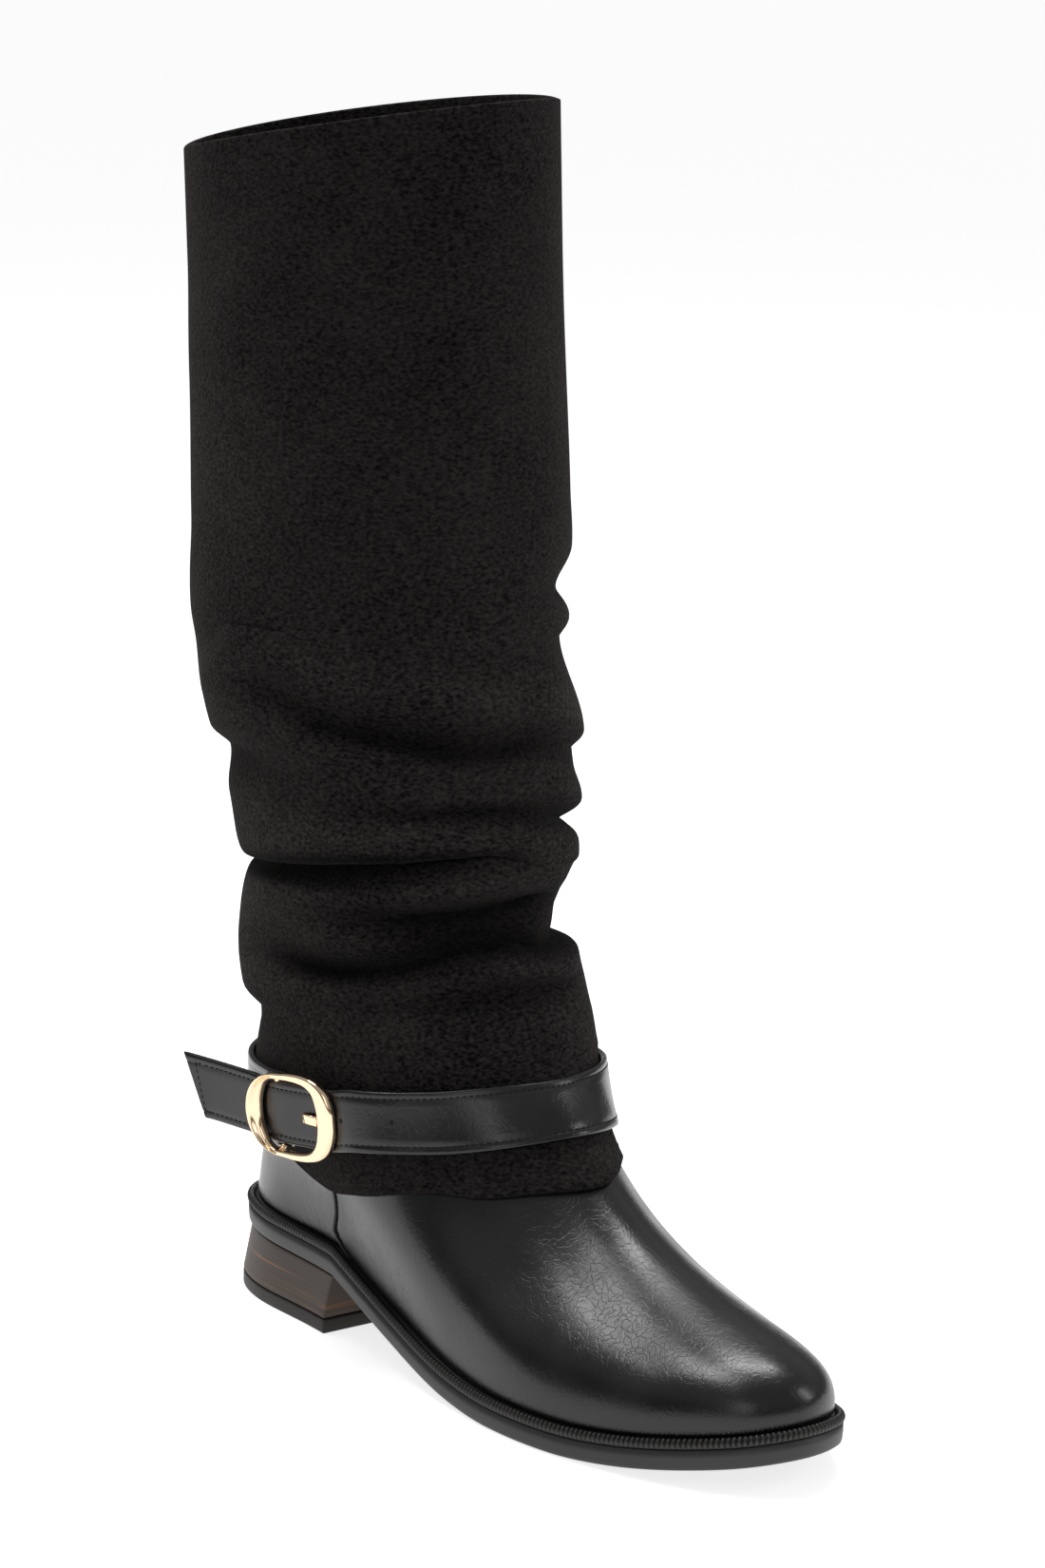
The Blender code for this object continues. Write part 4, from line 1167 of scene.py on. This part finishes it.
def makeProng(n):
    half = n["prongThick"] / 2
    gap = sole["gap"]
    hook = barCorner + gap + half
    turns = np.radians(np.linspace(60, 290, 16))
    path = [(hook * math.cos(a), hook * math.sin(a)) for a in turns]
    strapOuter = tailBase + strapPiece["thick"]
    hole = strapPiece["prongHole"]
    rise = [hole + d for d in n["prongRise"]]
    path += [
        (hole / 2, tailBase - 2 * gap - half),
        (rise[0], tailBase - gap - half),
        (rise[1], tailBase + 0.0006),
        (rise[2], strapOuter),
        (rise[3], strapOuter + 2 * gap + half),
        (frameRows[0][2] * n["front"] - gap, strapOuter + 4 * gap + half),
    ]
    path = np.array(path)
    ahead = np.gradient(path, axis=0)
    ahead /= np.linalg.norm(ahead, axis=1, keepdims=True)
    side = np.stack([-ahead[:, 1], ahead[:, 0]], 1)
    corners = [(-1, -0.8), (-0.8, -1), (0.8, -1), (1, -0.8), (1, 0.8), (0.8, 1), (-0.8, 1), (-1, 0.8)]
    across, out = np.moveaxis(np.array(corners), -1, 0)
    work = bmesh.new()
    reaches = [spot + np.multiply.outer(half * out, way) for spot, way in zip(path, side)]
    rings = joinRings(work, [onBar(r[:, 0], n["prong"] / 2 * across, r[:, 1]) for r in reaches])
    work.faces.new(rings[0])
    work.faces.new(rings[-1])
    bmesh.ops.recalc_face_normals(work, faces=work.faces)
    finishPiece("buckleProng", work, "buckle_brass", ["buckle_prong"])


makeBuckle(bucklePiece)
makeProng(bucklePiece)
print("stage: buckle")

# Side seam strips and the skirt's stitching
seamPiece = {
    "foot": 6.95,
    "head": 6.65,
    "bend": 0.30,
    "bendEnd": 0.22,
    "width": 0.0030,
    "height": 0.0009,
    "sink": 0.0003,
    "tuck": 0.0030,
    "stitches": 17,
    "beside": -0.12,
    "thread": (0.0009, 0.0003, 0.0003),
}
skirtPiece = {"stitch": 0.0021, "inset": 0.0030, "sink": 0.00005, "thread": (0.0008, 0.0003, 0.00022)}


def seamSpot(n, side, u, w, above):
    bend = n["bend"] * (1 - np.clip(w / n["bendEnd"], 0, 1)) ** 2
    middle = side * (n["foot"] + (n["head"] - n["foot"]) * w - bend)
    half = n["width"] / 2 / np.linalg.norm(outline(middle + 0.5) - outline(middle - 0.5), axis=-1)
    place = middle + half * (2 * u - 1)
    low = weltTop(outline(place, sole["weltLedge"])[..., 0]) + 2 * sole["gap"]
    high = spline(skirtRows, np.mod(place, places), places)[..., 0] + n["tuck"]
    return body(shareAt(low + (high - low) * w, place), np.mod(place, places), above)


def makeSeam(n, name, side, node):
    def shape(u, w):
        rise = n["height"] * np.sqrt(np.clip(1 - (2 * u - 1) ** 4, 0, 1))
        return seamSpot(n, side, u, w, sole["gap"] / 2 + rise - n["sink"])

    work = wrapSheet(12, 60, shape, (n["width"], 0.04), False)
    turnOut(work)
    finishPiece(name, work, "upper_leather", [node])
    w = np.linspace(0.03, 0.9, n["stitches"])
    u = np.full_like(w, n["beside"])
    spots, nexts = (seamSpot(n, side, u, at, n["sink"]) for at in (w, w + 0.01))
    tops = seamSpot(n, side, u, w, n["sink"] + 0.0010)
    makeStitches(name + "Thread", spots, nexts, tops, n["thread"], "upper_leather")


def skirtThreads(n):
    lift = sole["gap"] + wall["shaft"]

    def spot(place, above):
        height = spline(skirtRows, place, places)[..., 0] + n["inset"]
        return body(shareAt(height, place), place, above)

    reach = runLength(spot(densePlaces, lift))
    place = np.interp(np.arange(0, reach[-1], n["stitch"]), reach, densePlaces)
    spots = spot(place, lift - n["sink"])
    nexts = spots + spot(place + 0.01, lift) - spot(place - 0.01, lift)
    makeStitches("skirtThread", spots, nexts, spot(place, lift + 0.001), n["thread"], "shaft_suede")


makeSeam(seamPiece, "seamOuter", 1, "seam_strip_outer")
makeSeam(seamPiece, "seamInner", -1, "seam_strip_inner")
skirtThreads(skirtPiece)
print("stage: seams and threads")

# Camera, at the photograph's place
cameraPlace = Vector((-0.88793, -1.20309, 0.478365))
cameraTurn = Matrix(
    (
        (0.78249767, -0.62231642, 0.02048615),
        (0.10966977, 0.17013597, 0.97929888),
        (-0.6129192, -0.76405237, 0.2013803),
    )
).transposed()

studio = {"lens": 108.68, "floor": 30, "glow": 0.77, "ceiling": 0.55, "spread": 2.4, "sky": 0.14}
# place, aim, size and power of each soft box
softBoxes = {
    "stripBox": ((0.30, 0.48, 1.9), (0, -0.12, 0), (1.5, 0.34), 24),
    "vampBox": ((-0.42, 0.42, 1.9), (0, -0.15, 0), (0.5, 0.7), 9),
    "frontBox": ((-1.7, -1.5, 1.0), (0, 0, 0.15), (1.0, 1.2), 5),
    "sideBox": ((1.3, -1.2, 0.9), (0, -0.1, 0.1), (0.35, 0.9), 5),
}


def makeCamera(n):
    data = bpy.data.cameras.new("photoCamera")
    data.lens = n["lens"]
    data.clip_start = 0.05
    eye = addObject("photoCamera", data)
    eye.matrix_world = Matrix.Translation(cameraPlace) @ cameraTurn.to_4x4()
    bpy.context.scene.camera = eye


def makeFloor(n):  # its glow is seen and mirrored, but doesn't light matt surfaces
    work = bmesh.new()
    bmesh.ops.create_grid(work, x_segments=1, y_segments=1, size=n["floor"])
    mesh = bpy.data.meshes.new("studioFloor")
    work.to_mesh(mesh)
    work.free()
    floor = addObject("studioFloor", mesh)
    shade = newMaterial("floorLook", (0.6, 0.6, 0.6), 0.95)
    tree = shade.node_tree
    tree.nodes["Principled BSDF"].inputs["Emission Color"].default_value = (1, 1, 1, 1)
    path = addNode(tree, "LightPath")
    links = [(path.outputs["Is Diffuse Ray"], "Value")]
    glow = addNode(tree, "MapRange", links, To_Min=n["glow"], To_Max=0.0)
    drive(tree, "Emission Strength", glow.outputs["Result"])
    mesh.materials.append(shade)


def makeLight(name, place, aim, size, power):
    data = bpy.data.lights.new(name, "AREA")
    data.shape = "RECTANGLE"
    data.size, data.size_y = size
    data.energy = power
    lamp = addObject(name, data)
    lamp.location = place
    lamp.rotation_euler = (Vector(aim) - Vector(place)).to_track_quat("-Z", "Y").to_euler()


def makeWorld(n):
    world = bpy.data.worlds.new("studio")
    world.use_nodes = True
    back = world.node_tree.nodes["Background"]
    back.inputs["Color"].default_value = (1, 1, 1, 1)
    back.inputs["Strength"].default_value = n["sky"]
    bpy.context.scene.world = world


def makeSun(n):
    data = bpy.data.lights.new("ceiling", "SUN")
    data.energy = n["ceiling"]
    data.angle = n["spread"]
    addObject("ceiling", data).rotation_euler = (0.12, 0.1, 0)


makeCamera(studio)
makeFloor(studio)
makeSun(studio)
for name, values in softBoxes.items():
    makeLight(name, *values)
makeWorld(studio)
bpy.context.scene.view_settings.view_transform = "Standard"
print("stage: studio")
